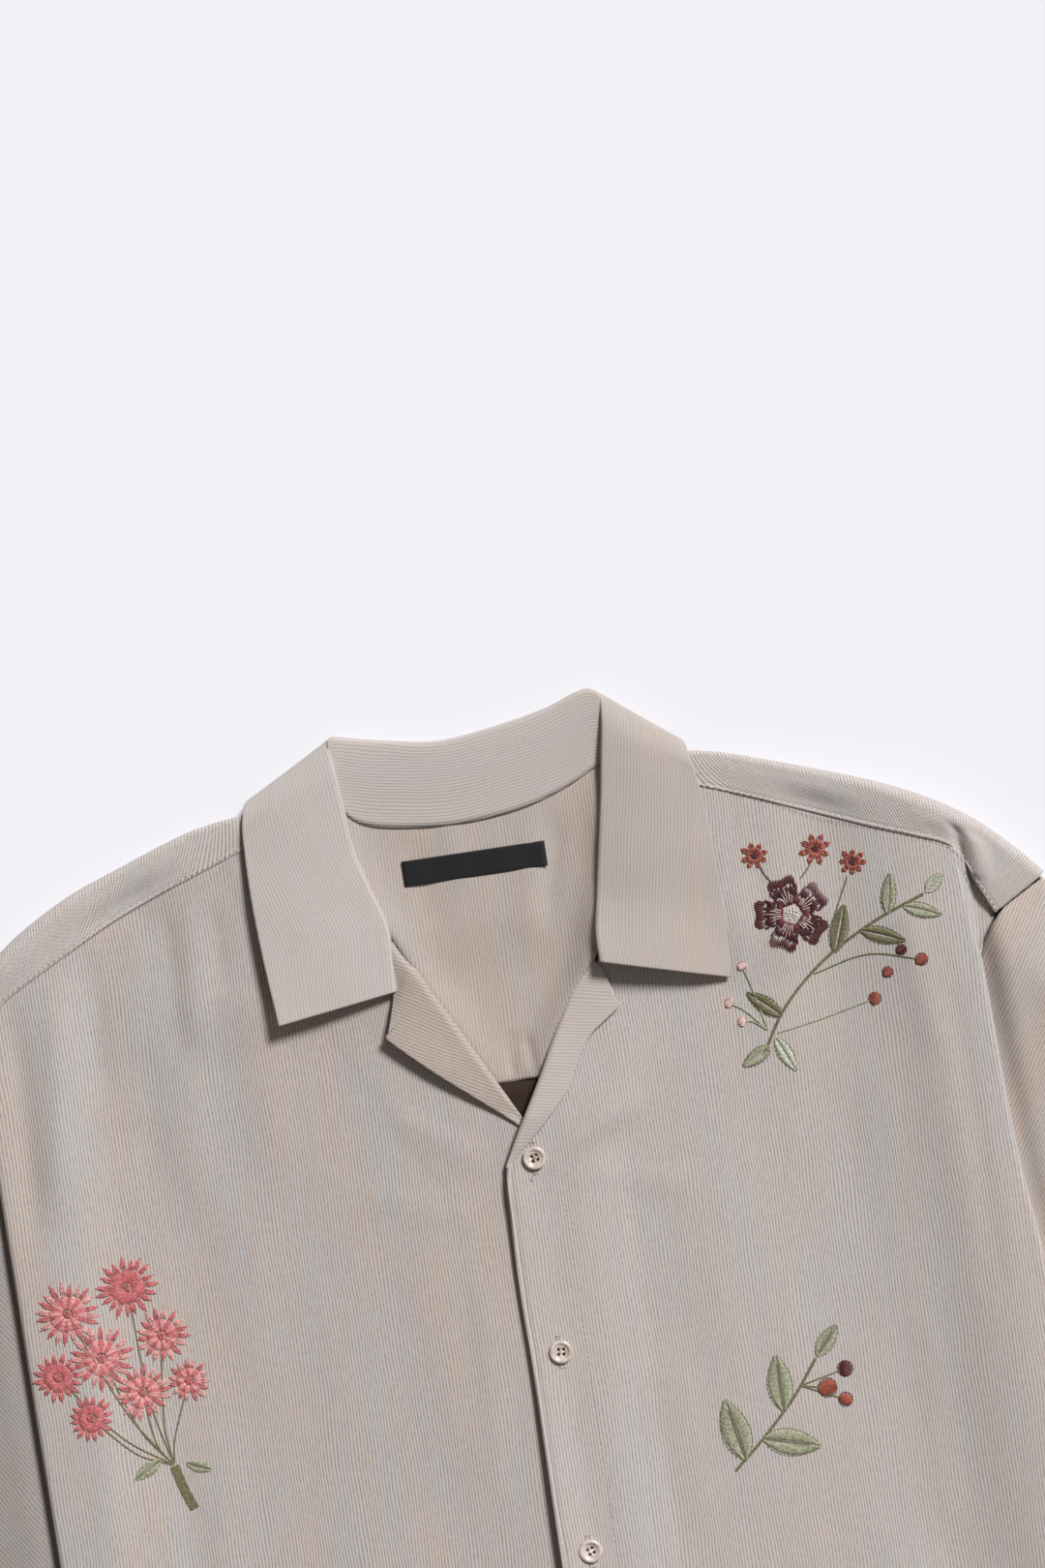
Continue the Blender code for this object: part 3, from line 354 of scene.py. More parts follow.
# Smaller creases that only the cloth has, as in FRONT_FOLDS.
FINE_FOLDS = (
    (-216, 132, -233, -10, 8, 2.3),
    (-240, 122, -247, -20, 7, -2.0),
    (-226, -20, -232, -190, 8, 1.2),
    (-200, 138, -206, 50, 7, -1.4),
    (-176, 150, -180, 56, 8, 1.2),
    (-160, 152, -164, 60, 5, -0.8),
    (-148, 152, -154, 64, 6, 0.9),
    (-136, 146, -138, 96, 5, -0.8),
    (-190, 40, -186, -110, 11, 0.8),
    (-150, 20, -144, -120, 12, 0.6),
    (-20, -6, -70, 34, 7, 0.7),
    (-24, -30, -96, -6, 8, 0.5),
    (-30, -40, -44, -190, 9, 0.7),
    (-206, -120, -196, -235, 8, 0.8),
    (-110, -40, -104, -150, 12, 0.5),
    (16, -2, 62, 22, 6, 0.6),
    (20, -12, 88, -30, 7, 0.5),
    (118, 120, 116, 60, 6, 0.7),
    (130, 132, 130, 84, 5, -0.6),
    (158, 138, 163, 66, 7, 0.6),
    (198, 104, 204, 10, 7, 0.9),
    (216, 70, 218, -120, 6, -0.8),
    (52, -90, 60, -210, 12, 0.6),
    (112, -60, 108, -180, 12, 0.5),
    (180, -90, 176, -230, 9, 0.8),
)

# Folds of the yoke where it passes the shoulders, as in FRONT_FOLDS.
SHOULDER_FOLDS = (
    (227, 160, 232, 96, 3.6, -2.6),
    (234, 156, 240, 90, 4.6, 1.8),
    (-256, 160, -262, 104, 5.0, -1.2),
)

# Folds of the yoke inside the neck, as in FRONT_FOLDS.
INSIDE_FOLDS = (
    (38, 168, 23, 104, 6, -1.3),
    (27, 172, 12, 96, 7, 0.8),
    (-38, 166, -28, 108, 7, -0.7),
    (-17, 176, -14, 128, 6, 0.6),
    (-1, 62, -4, 34, 2.4, -1.1),
    (6, 60, 9, 33, 2.4, -1.0),
)

# How far the yoke comes up beside the roll line: y, wearers_left, wearers_right.
ROLL_RISE = (
    (30, 2.6, 0.6),
    (60, 5.5, 2.2),
    (80, 8.0, 3.0),
    (91, 10.0, 3.2),
    (103, 9.5, 3.2),
    (119, 8.6, 3.2),
    (138, 7.2, 3.0),
    (160, 6.4, 2.6),
    (184, 1.0, 1.0),
)


def smooth(t):
    t = np.clip(t, 0.0, 1.0)
    return t * t * (3 - 2 * t)


def mix(a, b, t):
    return a + (b - a) * t


def unit(v):
    return v / np.maximum(np.linalg.norm(v, axis=-1, keepdims=True), 1e-9)


def heading(angle):
    return np.array([math.cos(angle), math.sin(angle)])


def left_of(way):
    return np.array([-way[1], way[0]])


def curve_value(keys, values, at):
    """A smooth curve through keys and values, with the end values held beyond the ends."""
    keys, values = np.asarray(keys, float), np.asarray(values, float)
    at = np.clip(np.asarray(at, float), keys[0], keys[-1])
    slopes = np.empty_like(values)
    slopes[1:-1] = (values[2:] - values[:-2]) / (keys[2:] - keys[:-2])
    slopes[0] = (values[1] - values[0]) / (keys[1] - keys[0])
    slopes[-1] = (values[-1] - values[-2]) / (keys[-1] - keys[-2])
    i = np.clip(np.searchsorted(keys, at, "right") - 1, 0, len(keys) - 2)
    width = keys[i + 1] - keys[i]
    t = (at - keys[i]) / width
    return (
        (2 * t**3 - 3 * t**2 + 1) * values[i]
        + (t**3 - 2 * t**2 + t) * width * slopes[i]
        + (3 * t**2 - 2 * t**3) * values[i + 1]
        + (t**3 - t**2) * width * slopes[i + 1]
    )


def column(rows, number, at, key=0):
    """One column of a table at any value of its key column, which is the first."""
    rows = np.asarray(rows, float)
    return curve_value(rows[:, key], rows[:, number], at)


def along_rows(rows, share):
    """A table's columns at shares of the way through its rows."""
    rows = np.asarray(rows, float)
    keys = np.arange(len(rows))
    at = np.asarray(share, float) * (len(rows) - 1)
    return [curve_value(keys, rows[:, k], at) for k in range(rows.shape[1])]


def travel(points):
    """How far along its line each point lies."""
    steps = np.linalg.norm(np.diff(np.asarray(points, float), axis=0), axis=-1)
    return np.concatenate([[0.0], np.cumsum(steps)])


def across_rows(grid):
    """How far along its row each point of a grid lies."""
    steps = np.linalg.norm(np.diff(grid, axis=1), axis=-1)
    return np.concatenate([np.zeros((len(grid), 1)), np.cumsum(steps, axis=1)], axis=1)


def point_along(points, share):
    """Points at shares of a line's length, on a smooth curve through its points."""
    points = np.asarray(points, float)
    lengths = travel(points)
    at = np.asarray(share, float) * lengths[-1]
    return np.stack([curve_value(lengths, points[:, k], at) for k in range(2)], axis=-1)


def point_at(line, distance):
    """Points at distances along a line, straight from each of its points to the next."""
    gone = travel(line)
    return np.stack([np.interp(distance, gone, line[:, k]) for k in range(line.shape[1])], axis=-1)


def ridge(x0, y0, x1, y1, half_width, height, x, y):
    """The height that one fold adds: full along its line and fading to its ends and sides."""
    length = math.hypot(x1 - x0, y1 - y0)
    along = ((x - x0) * (x1 - x0) + (y - y0) * (y1 - y0)) / length**2
    off = ((x - x0) * (y1 - y0) - (y - y0) * (x1 - x0)) / length
    ends = smooth(along / 0.3) * smooth((1 - along) / 0.3)
    return height * ends * np.exp(-((off / half_width) ** 2))


def folds_height(folds, x, y, side=None):
    """The height that a table of folds adds, or that one side's folds do."""
    total = 0.0
    for fold in folds:
        if side is None or fold[0] * side.sign > 0:
            total = total + ridge(*fold, x, y)
    return total


def ripple(x, y, wave, seed):
    """A slow uneven swell between about -1 and 1."""
    total = 0.0
    for k in range(4):
        angle = seed * 1.7 + k * 2.4
        size = wave * (0.7 + 0.35 * k)
        line = x * math.cos(angle) + y * math.sin(angle)
        total = total + np.sin(line * 2 * math.pi / size + seed + k * 1.3)
    return total / 3.0


class Side:
    """One side of the shirt. sign is 1 on the wearer's left and -1 on the wearer's right."""

    def __init__(self, name, sign, edge, inner, shoulder, lapel, shift):
        self.name, self.sign, self.shift = name, sign, shift
        self.edge, self.inner, self.shoulder, self.lapel = edge, inner, shoulder, lapel


LEFT = Side(
    "left", 1, EDGE_WEARERS_LEFT, INNER_WEARERS_LEFT, SHOULDER_WEARERS_LEFT, LAPEL_WEARERS_LEFT, 0.0
)
RIGHT = Side(
    "right", -1, EDGE_WEARERS_RIGHT, INNER_WEARERS_RIGHT, SHOULDER_WEARERS_RIGHT, LAPEL_WEARERS_RIGHT,
    LEFT_SIDE_SHIFT,
)

# From the shirt's axes to the frame's, in millimetres.
button_low, button_high = (np.array(p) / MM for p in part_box("button_2"))
SHIFT = np.array(
    [
        (button_low[0] + button_high[0]) / 2,
        (button_low[1] + button_high[1]) / 2 + BUTTON_PITCH,
        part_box("back")[0][2] / MM,
    ]
)


def box_foot(node):
    """The height of a node's lowest point, in the shirt's axes."""
    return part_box(node)[0][2] / MM - SHIFT[2]


# Shells


def mesh_object(name, material, points, faces, uv=None):
    """An object from points in millimetres in the shirt's axes, with its cloth coordinates in metres."""
    mesh = bpy.data.meshes.new(name)
    mesh.from_pydata(((np.asarray(points) + SHIFT) * MM).tolist(), [], [list(f) for f in faces])
    if uv is not None:
        layer = mesh.uv_layers.new(name="cloth")
        index = np.empty(len(mesh.loops), np.int32)
        mesh.loops.foreach_get("vertex_index", index)
        layer.data.foreach_set("uv", (np.asarray(uv)[index] * MM).astype(np.float32).ravel())
    mesh.polygons.foreach_set("use_smooth", [True] * len(mesh.polygons))
    mesh.materials.append(material)
    obj = bpy.data.objects.new(name, mesh)
    bpy.context.scene.collection.objects.link(obj)
    return obj


def second_material(obj, material, chosen):
    """Gives the chosen faces a material of their own."""
    obj.data.materials.append(material)
    obj.data.polygons.foreach_set("material_index", np.asarray(chosen).astype(np.int32))


def grid_normals(grid, closed):
    """The normals of a grid of points, rows first."""
    if closed:
        across = np.roll(grid, -1, axis=1) - np.roll(grid, 1, axis=1)
    else:
        across = np.gradient(grid, axis=1)
    return unit(np.cross(across, np.gradient(grid, axis=0)))


def shell(grid, uv, top, bottom, closed=False, mirror=False):
    """(points, faces, uv) of a closed shell about a grid: top and bottom are its thickness on each side, and
    it narrows to nothing at the grid's open edges where they are 0 there."""
    normal = grid_normals(grid, closed)
    rows, columns = grid.shape[:2]
    high = grid + normal * np.broadcast_to(top, (rows, columns))[..., None]
    low = grid - normal * np.broadcast_to(bottom, (rows, columns))[..., None]
    points = np.concatenate([high.reshape(-1, 3), low.reshape(-1, 3)])
    number = np.arange(rows * columns).reshape(rows, columns)
    faces = []
    for layer, flip in ((number, False), (number + rows * columns, True)):
        a, d = layer[:-1], layer[1:]
        if closed:
            quads = np.stack([a, np.roll(a, -1, 1), np.roll(d, -1, 1), d], axis=-1)
        else:
            quads = np.stack([a[:, :-1], a[:, 1:], d[:, 1:], d[:, :-1]], axis=-1)
        quads = quads.reshape(-1, 4)
        faces.append(quads[:, ::-1] if flip != mirror else quads)
    rims = [number[0], number[-1][::-1]]
    if not closed:
        rims += [number[::-1, 0], number[:, -1]]
    for rim in rims:
        if closed:
            rim = np.append(rim, rim[0])
        a, b = rim[:-1], rim[1:]
        quads = np.stack([b, a, a + rows * columns, b + rows * columns], axis=-1)
        faces.append(quads[:, ::-1] if mirror else quads)
    if mirror:
        points = points * np.array([-1.0, 1.0, 1.0])
    flat_uv = np.concatenate([uv.reshape(-1, 2)] * 2)
    return points, np.concatenate(faces), flat_uv


def joined(parts):
    """Several shells as one."""
    points, faces, uv, count = [], [], [], 0
    for p, f, t in parts:
        points.append(p)
        faces.append(f + count)
        uv.append(t)
        count += len(p)
    return np.concatenate(points), np.concatenate(faces), np.concatenate(uv)


def grain_uv(side, grid, grain):
    """Cloth coordinates seen from above, turned so that the ribs run at an angle."""
    c, s = math.cos(grain), math.sin(grain)
    x, y = side.sign * grid[..., 0], grid[..., 1]
    return np.stack([x * c + y * s, -x * s + y * c], axis=-1)


def rounded(distance, radius):
    """A shell's share of its full thickness at a distance from a rounded edge."""
    t = np.clip(distance / radius, 0.0, 1.0)
    return np.sqrt(np.clip(1 - (1 - t) ** 2, 0.0, 1.0)) * 0.96 + 0.04


def turned_edge(distance):
    """The raised lip and the stitched groove behind it, at a distance from a turned edge."""
    lip = 0.22 * np.exp(-(((distance - 0.9) / 0.7) ** 2))
    return lip - 0.26 * np.exp(-(((distance - 2.3) / 0.45) ** 2))


def fine_start(count, fine, total):
    """Shares from 0 to 1, set close together over the first few millimetres of a length."""
    start = np.array(fine) / total
    return np.concatenate([start, np.linspace(start[-1], 1.0, count + 1)[1:]])


def fine_both(ends, start, length, count):
    """Distances from 0 to a length: the ends' own at both of its ends, and even steps between them."""
    ends = np.array(ends)
    return np.concatenate([ends, np.linspace(start, length - start, count), length - ends[::-1]])


# The body


def collar_rise(x, y, spread=0.0):
    """How far the collar lifts the cloth under it."""
    beside = smooth((COLLAR_REACH + spread - abs(x - COLLAR_X)) / 32)
    return COLLAR_RISE * smooth((y - COLLAR_FROM + spread) / 36) * beside


def front_inner(side, y):
    """The front's inner edge, with the placket's cloth rolled a little past it on the wearer's left."""
    roll = PLACKET_ROLL * smooth((13 - y) / 13) * smooth((y + 120) / 70) if side is LEFT else 0.0
    return column(side.inner, 1, y) - roll


def front_height(side, out, y):
    """The height of the middle of a front's cloth."""
    crease, top_z = column(side.edge, 1, y), column(side.edge, 4, y)
    rise = smooth((out - (crease - RISE_BAND[0])) / RISE_BAND[1])
    x = side.sign * out
    z = mix(FRONT_Z, top_z, rise) + (1 - rise) * folds_height(FRONT_FOLDS, x, y, side)
    if side is LEFT:
        inner = front_inner(side, y)
        z = z + column(PLACKET_LIFT, 1, y) * smooth((inner + LIFT_BAND[0] - out) / LIFT_BAND[1])
        curl = smooth((6 - y) / 30) * (1 + 0.35 * np.sin(y / 41))
        z = z + PLACKET_CURL * curl * smooth((inner + 20 - out) / 20)
    z = np.maximum(z, FRONT_Z - 0.5) + collar_rise(x, y, 22.0)
    return z + folds_height(FINE_FOLDS, x, y, side) + 0.16 * ripple(x, y * 0.35, 46, 3 + side.sign)


def front_thickness(side, out, y):
    """The cloth is double where the facing lies under it along the placket."""
    return WALL + FACING_WALL * smooth((front_inner(side, y) + FACING_WIDTH - out) / 4)


def front_top(side, x, y):
    """The height of a front's upper face at a point."""
    return front_height(side, side.sign * x, y) + front_thickness(side, side.sign * x, y)


def crease_arc(side, y):
    """Where the front's crease starts to turn, the middle of its curve and the angle where it ends."""
    crease, seam, seam_z = (column(side.edge, k, y) for k in (1, 2, 3))
    start = crease - FOLD_RADIUS
    low = front_height(side, start, y) - FOLD_RADIUS
    dx, dz = seam - start, seam_z - low
    last = np.arctan2(dz, dx) + np.arccos(np.minimum(1.0, FOLD_RADIUS / np.hypot(dx, dz)))
    return start, low, last


def side_drop(part, y):
    """The dent beside the crease at the armhole, at a share of the way from the crease to the seam."""
    depth = ARMHOLE_DENT * smooth((y - 40) / 18) * smooth((108 - y) / 8)
    return -depth * smooth(part / 0.16) * smooth((1 - part) / 0.8)


def crease_side(side, out, y):
    """The height of the middle of a front's cloth from the crease to the armhole seam."""
    start, low, last = crease_arc(side, y)
    seam, seam_z = (column(side.edge, k, y) for k in (2, 3))
    end_x, end_z = start + FOLD_RADIUS * np.cos(last), low + FOLD_RADIUS * np.sin(last)
    over = np.clip(out - start, 0, FOLD_RADIUS)
    wall = low + np.sqrt(FOLD_RADIUS**2 - over**2)
    part = np.clip((out - end_x) / np.maximum(seam - end_x, 1.0), 0, 1)
    beyond = mix(end_z, seam_z, part) + side_drop(part, y)
    return np.where(out < start, front_height(side, out, y), np.where(out < end_x, wall, beyond))


def seam_y(side, out):
    """Where the shoulder seam crosses a distance out."""
    return column(side.shoulder, 3, out, key=2)


def front_piece(side, material):
    """A front: flat cloth up to the crease, the crease's curve, then the tail that turns back under."""
    edge = (0, 0.12, 0.35, 0.7, 1.1, 1.5, 1.9, 2.3, 2.7, 3.2, 4.0)
    main = fine_start(FRONT_COLUMNS, edge, FRONT_WIDTH)
    main = mix(main, smooth(main), 0.25)
    count = len(main)
    columns = count + ARC_STEPS + TAIL_STEPS
    arc_share = np.linspace(0, 1, ARC_STEPS + 1)[1:]
    tail_share = np.linspace(0, 1, TAIL_STEPS + 1)[1:]
    top, tail_top = np.full(count, 150.0), np.full(TAIL_STEPS, 95.0)
    for _ in range(SEAM_FITS):
        start = column(side.edge, 1, top) - FOLD_RADIUS
        top = mix(top, seam_y(side, mix(front_inner(side, top), start, main)), 0.7)
        crease, seam = column(side.edge, 1, tail_top) - 1.8, column(side.edge, 2, tail_top)
        tail_top = mix(tail_top, seam_y(side, mix(crease, seam, tail_share)), 0.7)
    tops = np.concatenate([top, np.linspace(top[-1], top[-1] - 0.8, ARC_STEPS), tail_top]) + 2.0
    share = np.concatenate([[0, 0.0002, 0.0006, 0.0012, 0.0025, 0.004], np.linspace(0.006, 1, FRONT_ROWS)])
    share = 1 - (1 - share) ** 1.12
    y = mix(HEM_Y, tops[None, :], share[:, None])
    start = column(side.edge, 1, y) - FOLD_RADIUS
    seam, seam_z = (column(side.edge, k, y) for k in (2, 3))
    out, z = np.empty_like(y), np.empty_like(y)
    out[:, :count] = mix(front_inner(side, y)[:, :count], start[:, :count], main[None, :])
    z[:, :count] = front_height(side, out[:, :count], y[:, :count])

    def arc_points(chosen, portion):
        cx, cz, last = crease_arc(side, y[:, chosen])
        angle = mix(math.pi / 2, last, portion)
        return cx + FOLD_RADIUS * np.cos(angle), cz + FOLD_RADIUS * np.sin(angle)

    arc, tail = slice(count, count + ARC_STEPS), slice(count + ARC_STEPS, columns)
    out[:, arc], z[:, arc] = arc_points(arc, arc_share[None, :])
    end_x, end_z = arc_points(tail, 1.0)
    part = tail_share[None, :]
    out[:, tail] = mix(end_x, seam[:, tail], part)
    z[:, tail] = mix(end_z, seam_z[:, tail], part) + side_drop(part, y[:, tail])
    length = across_rows(np.stack([out, z], axis=-1))
    past = out[:, count - 1 : count] + length - length[:, count - 1 : count]
    u = np.where(np.arange(columns)[None, :] < count, out, past)
    shape = rounded(np.minimum(length * 0.9, y - HEM_Y), 0.85)
    thick = WALL + (front_thickness(side, out, y) - WALL) * (length < 70)
    hem = HEM_WALL * smooth(HEM_Y + HEM_DEPTH - y)
    lip = PLACKET_LIP * turned_edge(length) * smooth((8 - y) / 10)
    grid, uv = np.stack([out, y, z], axis=-1), np.stack([u * side.sign, y], axis=-1)
    parts = shell(grid, uv, (thick + hem + lip) * shape, WALL * shape, mirror=side.sign < 0)
    return mesh_object("front_" + side.name + "_cloth", material, *parts)


def armhole_out(side, y):
    """How far out the back reaches, at the side seam and up the armhole."""
    points = np.array(ARMHOLE, float) + (side.shift + SEAM_GAP, 0)
    inset = SLEEVE_EDGE_RADIUS / math.dist(points[0], points[-1])
    corners = point_along(points, mix(inset, 1 - inset, np.linspace(0, 1, 9)))
    y = np.asarray(y, float)
    on_arm = np.interp(y, corners[::-1, 1], corners[::-1, 0])
    return np.where(y <= corners[-1, 1] + 0.1, column(side.edge, 2, y), on_arm)


def back_piece(material, back_shade_material):
    """The back, one flat layer from the hem to the yoke's seam. Its upper faces take a dark brown copy of the
    cloth: painted shade where the back shows at the foot of the neck opening.
    """
    up = np.linspace(4, YOKE_SEAM_Y - SEAM_GAP - HEM_Y, BACK_ROWS)
    y = np.concatenate([[0, 0.3, 0.8, 1.5], up]) + HEM_Y
    low, high = -armhole_out(RIGHT, y) + SEAM_GAP, armhole_out(LEFT, y) - SEAM_GAP
    share = np.linspace(0, 1, BACK_COLUMNS)
    x = mix(low[:, None], high[:, None], share[None, :])
    yy = np.broadcast_to(y[:, None], x.shape)
    grid = np.stack([x, yy, np.full_like(x, FLOOR_MID)], axis=-1)
    wall = WALL * rounded(yy - HEM_Y, 0.6)
    obj = mesh_object("back_cloth", material, *shell(grid, grid[..., :2], wall, wall))
    upper = (len(y) - 1) * (len(share) - 1)
    # The upper faces get the dark brown cloth: painted shade in the hollow under the yoke seam.
    second_material(obj, back_shade_material, np.arange(len(obj.data.polygons)) < upper)
    return obj


def shoulder_line(side, count):
    """The shoulder's rows, the outward direction of its outline and the low layer's height under it."""
    share = np.linspace(0, 1, count)
    x, y, edge_x, edge_y, z = along_rows(side.shoulder, share)
    before = along_rows(side.shoulder, np.clip(share - 0.02, 0, 1))
    after = along_rows(side.shoulder, np.clip(share + 0.02, 0, 1))
    direction = unit(np.stack([after[0] - before[0], after[1] - before[1]], axis=-1))
    low_z = FLOOR_MID + collar_rise(side.sign * x, y)
    return x, y, edge_x, edge_y, z, -direction[:, 1], direction[:, 0], low_z


def shoulder_wrap(side, count=SHOULDER_COLUMNS):
    """The yoke where it is folded over a shoulder, from the low layer to its front edge."""
    x, y, edge_x, edge_y, z, nx, ny, low_z = shoulder_line(side, count)
    radius = (z - low_z) / 2
    cx, cy = x - nx * radius, y - ny * radius
    angle = np.linspace(-math.pi / 2, math.pi / 2, SHOULDER_ARC)[:, None]
    reach = radius * np.cos(angle)
    arc = np.stack([cx + nx * reach, cy + ny * reach, low_z + radius + radius * np.sin(angle)], axis=-1)
    run = np.hypot(edge_x - cx, edge_y - cy)
    near_edge = [0.13, 0.11, 0.095, 0.08, 0.06, 0.035, 0.012, 0.0]
    share = 1 - np.concatenate([np.linspace(1, 0.16, 14)[1:], near_edge])[:, None]
    out, yy = mix(cx, edge_x, share), mix(cy, edge_y, share)
    height = z + 0.22 * ripple(out, yy, 38, 7 + side.sign) * share * (1 - share) * 4
    past = out - column(side.edge, 1, yy)
    laid = crease_side(side, out, yy) + WALL + EDGE_WALL + 0.05 + 4.0 * smooth((past - 2) / 6)
    height = mix(height, np.minimum(height, laid), smooth((share - 0.2) / 0.6))
    height = height + smooth(share / 0.3) * folds_height(SHOULDER_FOLDS, side.sign * out, yy, side)
    grid = np.concatenate([arc, np.stack([out, yy, height], axis=-1)])
    along = travel(np.stack([x, y], axis=-1))
    down = across_rows(grid.transpose(1, 0, 2)).T
    tilt = np.broadcast_to(((edge_x - cx) * -ny + (edge_y - cy) * nx) / np.maximum(run, 1), down.shape)
    uv = np.stack([x[0] + along + tilt * down, -down * np.sqrt(1 - tilt**2)], axis=-1)
    from_edge = np.concatenate([np.full((len(arc), count), 9.0), (1 - share) * run])
    shape = rounded(from_edge, 0.9)
    thin = mix(EDGE_WALL, WALL, smooth(from_edge / 9))
    top = (thin + turned_edge(from_edge)) * shape
    return shell(grid[::-1], uv[::-1], top[::-1], (thin * shape)[::-1], mirror=side.sign < 0)


def yoke_inside(rows=YOKE_ROWS):
    """The yoke's flat layer, from the back seam up to the neck and the shoulders' folds."""
    heads = []
    for side in (RIGHT, LEFT):
        x, y, _, _, z, nx, ny, low_z = shoulder_line(side, 60)
        radius = (z - low_z) / 2
        points = np.stack([side.sign * (x - nx * radius), y - ny * radius], axis=-1)
        heads.append(points[::-1] if side is RIGHT else points)
    top = np.concatenate([heads[0], point_along(NECK_SEAM, np.linspace(0, 1, NECK_COLUMNS)), heads[1]])
    columns = np.linspace(0, 1, len(top))
    foot = np.linspace(-armhole_out(RIGHT, YOKE_SEAM_Y), armhole_out(LEFT, YOKE_SEAM_Y), len(top))
    share = np.linspace(0, 1, rows)[:, None]
    y = mix(YOKE_SEAM_Y, top[None, :, 1], share)
    x = mix(foot[None, :], top[None, :, 0], share)
    for side, head in ((RIGHT, top[0]), (LEFT, top[-1])):
        straight = mix(armhole_out(side, YOKE_SEAM_Y), abs(head[0]), share)
        bent = armhole_out(side, mix(YOKE_SEAM_Y, head[1], share)) - 2.5 * SEAM_GAP
        bend = (bent - straight) * np.abs(2 * columns - 1)[None, :] ** 6
        x = x + side.sign * bend * (np.sign(2 * columns - 1)[None, :] == side.sign)
    z = FLOOR_MID + collar_rise(x, y)
    for number, side in ((1, LEFT), (2, RIGHT)):
        clear = column(side.inner, 1, y) - side.sign * x - 1.0
        rise = column(ROLL_RISE, number, y) * smooth((y - 30) / 12)
        z = z + rise * smooth(clear / 2.2) * np.exp(-((np.maximum(clear, 0) / 12) ** 2))
    z = np.maximum(z + folds_height(INSIDE_FOLDS, x, y), FLOOR_MID - 0.2)
    return shell(np.stack([x, y, z], axis=-1), np.stack([x, y], axis=-1), WALL, WALL)


def yoke_piece(material, strip_sheen_material):
    inside = yoke_inside()
    parts = joined([inside, shoulder_wrap(LEFT), shoulder_wrap(RIGHT)])
    obj = mesh_object("yoke_cloth", material, *parts)
    # The strips folded over the shoulders get the lighter cloth: painted sheen.
    second_material(obj, strip_sheen_material, np.arange(len(parts[1])) >= len(inside[1]))
    return obj


# The collar and the lapels


def collar_piece(material, leaf_shade_material):
    """The collar: a stand that rises from the neck seam, the roll, and the fall down to its outer edge. The
    fall on the wearer's left takes a darker copy of the cloth: painted shade.
    """
    first, last = [0, 0.0006, 0.0016, 0.003], [0.997, 0.9984, 0.9994, 1]
    share = np.concatenate([first, np.linspace(0.005, 0.995, COLLAR_SECTIONS), last])
    values = (v[:, None] for v in along_rows(COLLAR_ROWS, share))
    ax, ay, az, rx, ry, ox, oy, oz, stand_z, fall_z, bulge = values
    stand_length, fall_length = np.hypot(rx - ax, ry - ay), np.hypot(ox - rx, oy - ry)
    up = ((rx - ax) / stand_length, (ry - ay) / stand_length)
    down = ((ox - rx) / fall_length, (oy - ry) / fall_length)
    roll_length = travel(np.concatenate([rx, ry], axis=1))[:, None]
    from_corner = roll_length[-1] - roll_length
    fall_z = fall_z + CORNER_LIFT * smooth(1 - from_corner / 36)
    oz = oz - CORNER_SAG * smooth(1 - from_corner / 60)
    stand_z = np.maximum(stand_z, (fall_z - 2.4) * smooth((share[:, None] - 0.62) / 0.06))
    radius = np.maximum(1.2, abs(fall_z - stand_z) / 2)
    s = np.linspace(0, 1, STAND_STEPS + 1)[None, :-1]
    reach = s * (stand_length - radius)
    rise = mix(az - COLLAR_WALL, stand_z, smooth(s)) + 0.25 * np.sin(math.pi * s)
    stand = np.stack([ax + up[0] * reach, ay + up[1] * reach, rise], axis=-1)
    angle = np.linspace(0, math.pi, ROLL_STEPS + 1)[None, :]
    back = radius * (1 - np.sin(angle))
    late = angle > math.pi / 2
    arc_x = rx - np.where(late, -down[0], up[0]) * back
    arc_y = ry - np.where(late, -down[1], up[1]) * back
    arc = np.stack([arc_x, arc_y, mix(stand_z, fall_z, (1 - np.cos(angle)) / 2)], axis=-1)
    near_edge = [0.945, 0.955, 0.965, 0.974, 0.983, 0.991, 0.997, 1.0]
    s = np.concatenate([np.linspace(0, 0.93, FALL_STEPS)[1:], near_edge])[None, :]
    reach = mix(radius, fall_length, s)
    z = mix(fall_z, oz, s) + bulge * np.sin(math.pi * s)
    fall = np.stack([rx + down[0] * reach, ry + down[1] * reach, z], axis=-1)
    grid = np.concatenate([stand, arc, fall], axis=1)
    across = across_rows(grid)
    crest = STAND_STEPS + ROLL_STEPS // 2
    along = travel(grid[:, crest])[:, None] + 0 * across
    swell = 0.3 * ripple(along, across, 60, 5) * smooth(across / 40) * smooth((along + 2) / 12)
    grid[..., 2] += swell * smooth((grid[..., 2] - 5) / 4)
    uv = np.stack([across - across[:, crest : crest + 1], along], axis=-1)
    ends = np.minimum(along, along[-1] - along)
    edge = np.minimum(across[:, -1:] - across, ends * 1.6)
    shape = rounded(edge, 0.95)
    lip = 0.6 * turned_edge(edge) * smooth((across - stand_length) / 4)
    parts = shell(grid, uv, (COLLAR_WALL + lip) * shape, COLLAR_WALL * shape)
    obj = mesh_object("collar_cloth", material, *parts)
    rows, columns = grid.shape[0] - 1, grid.shape[1] - 1
    row, place = np.divmod(np.arange(len(parts[1])), columns)
    # The fall on the wearer's left, from the roll to the edge, gets the darker cloth: painted shade.
    second_material(obj, leaf_shade_material, (row < 2 * rows) & (row % rows > 0.62 * rows) & (place >= crest))
    return obj


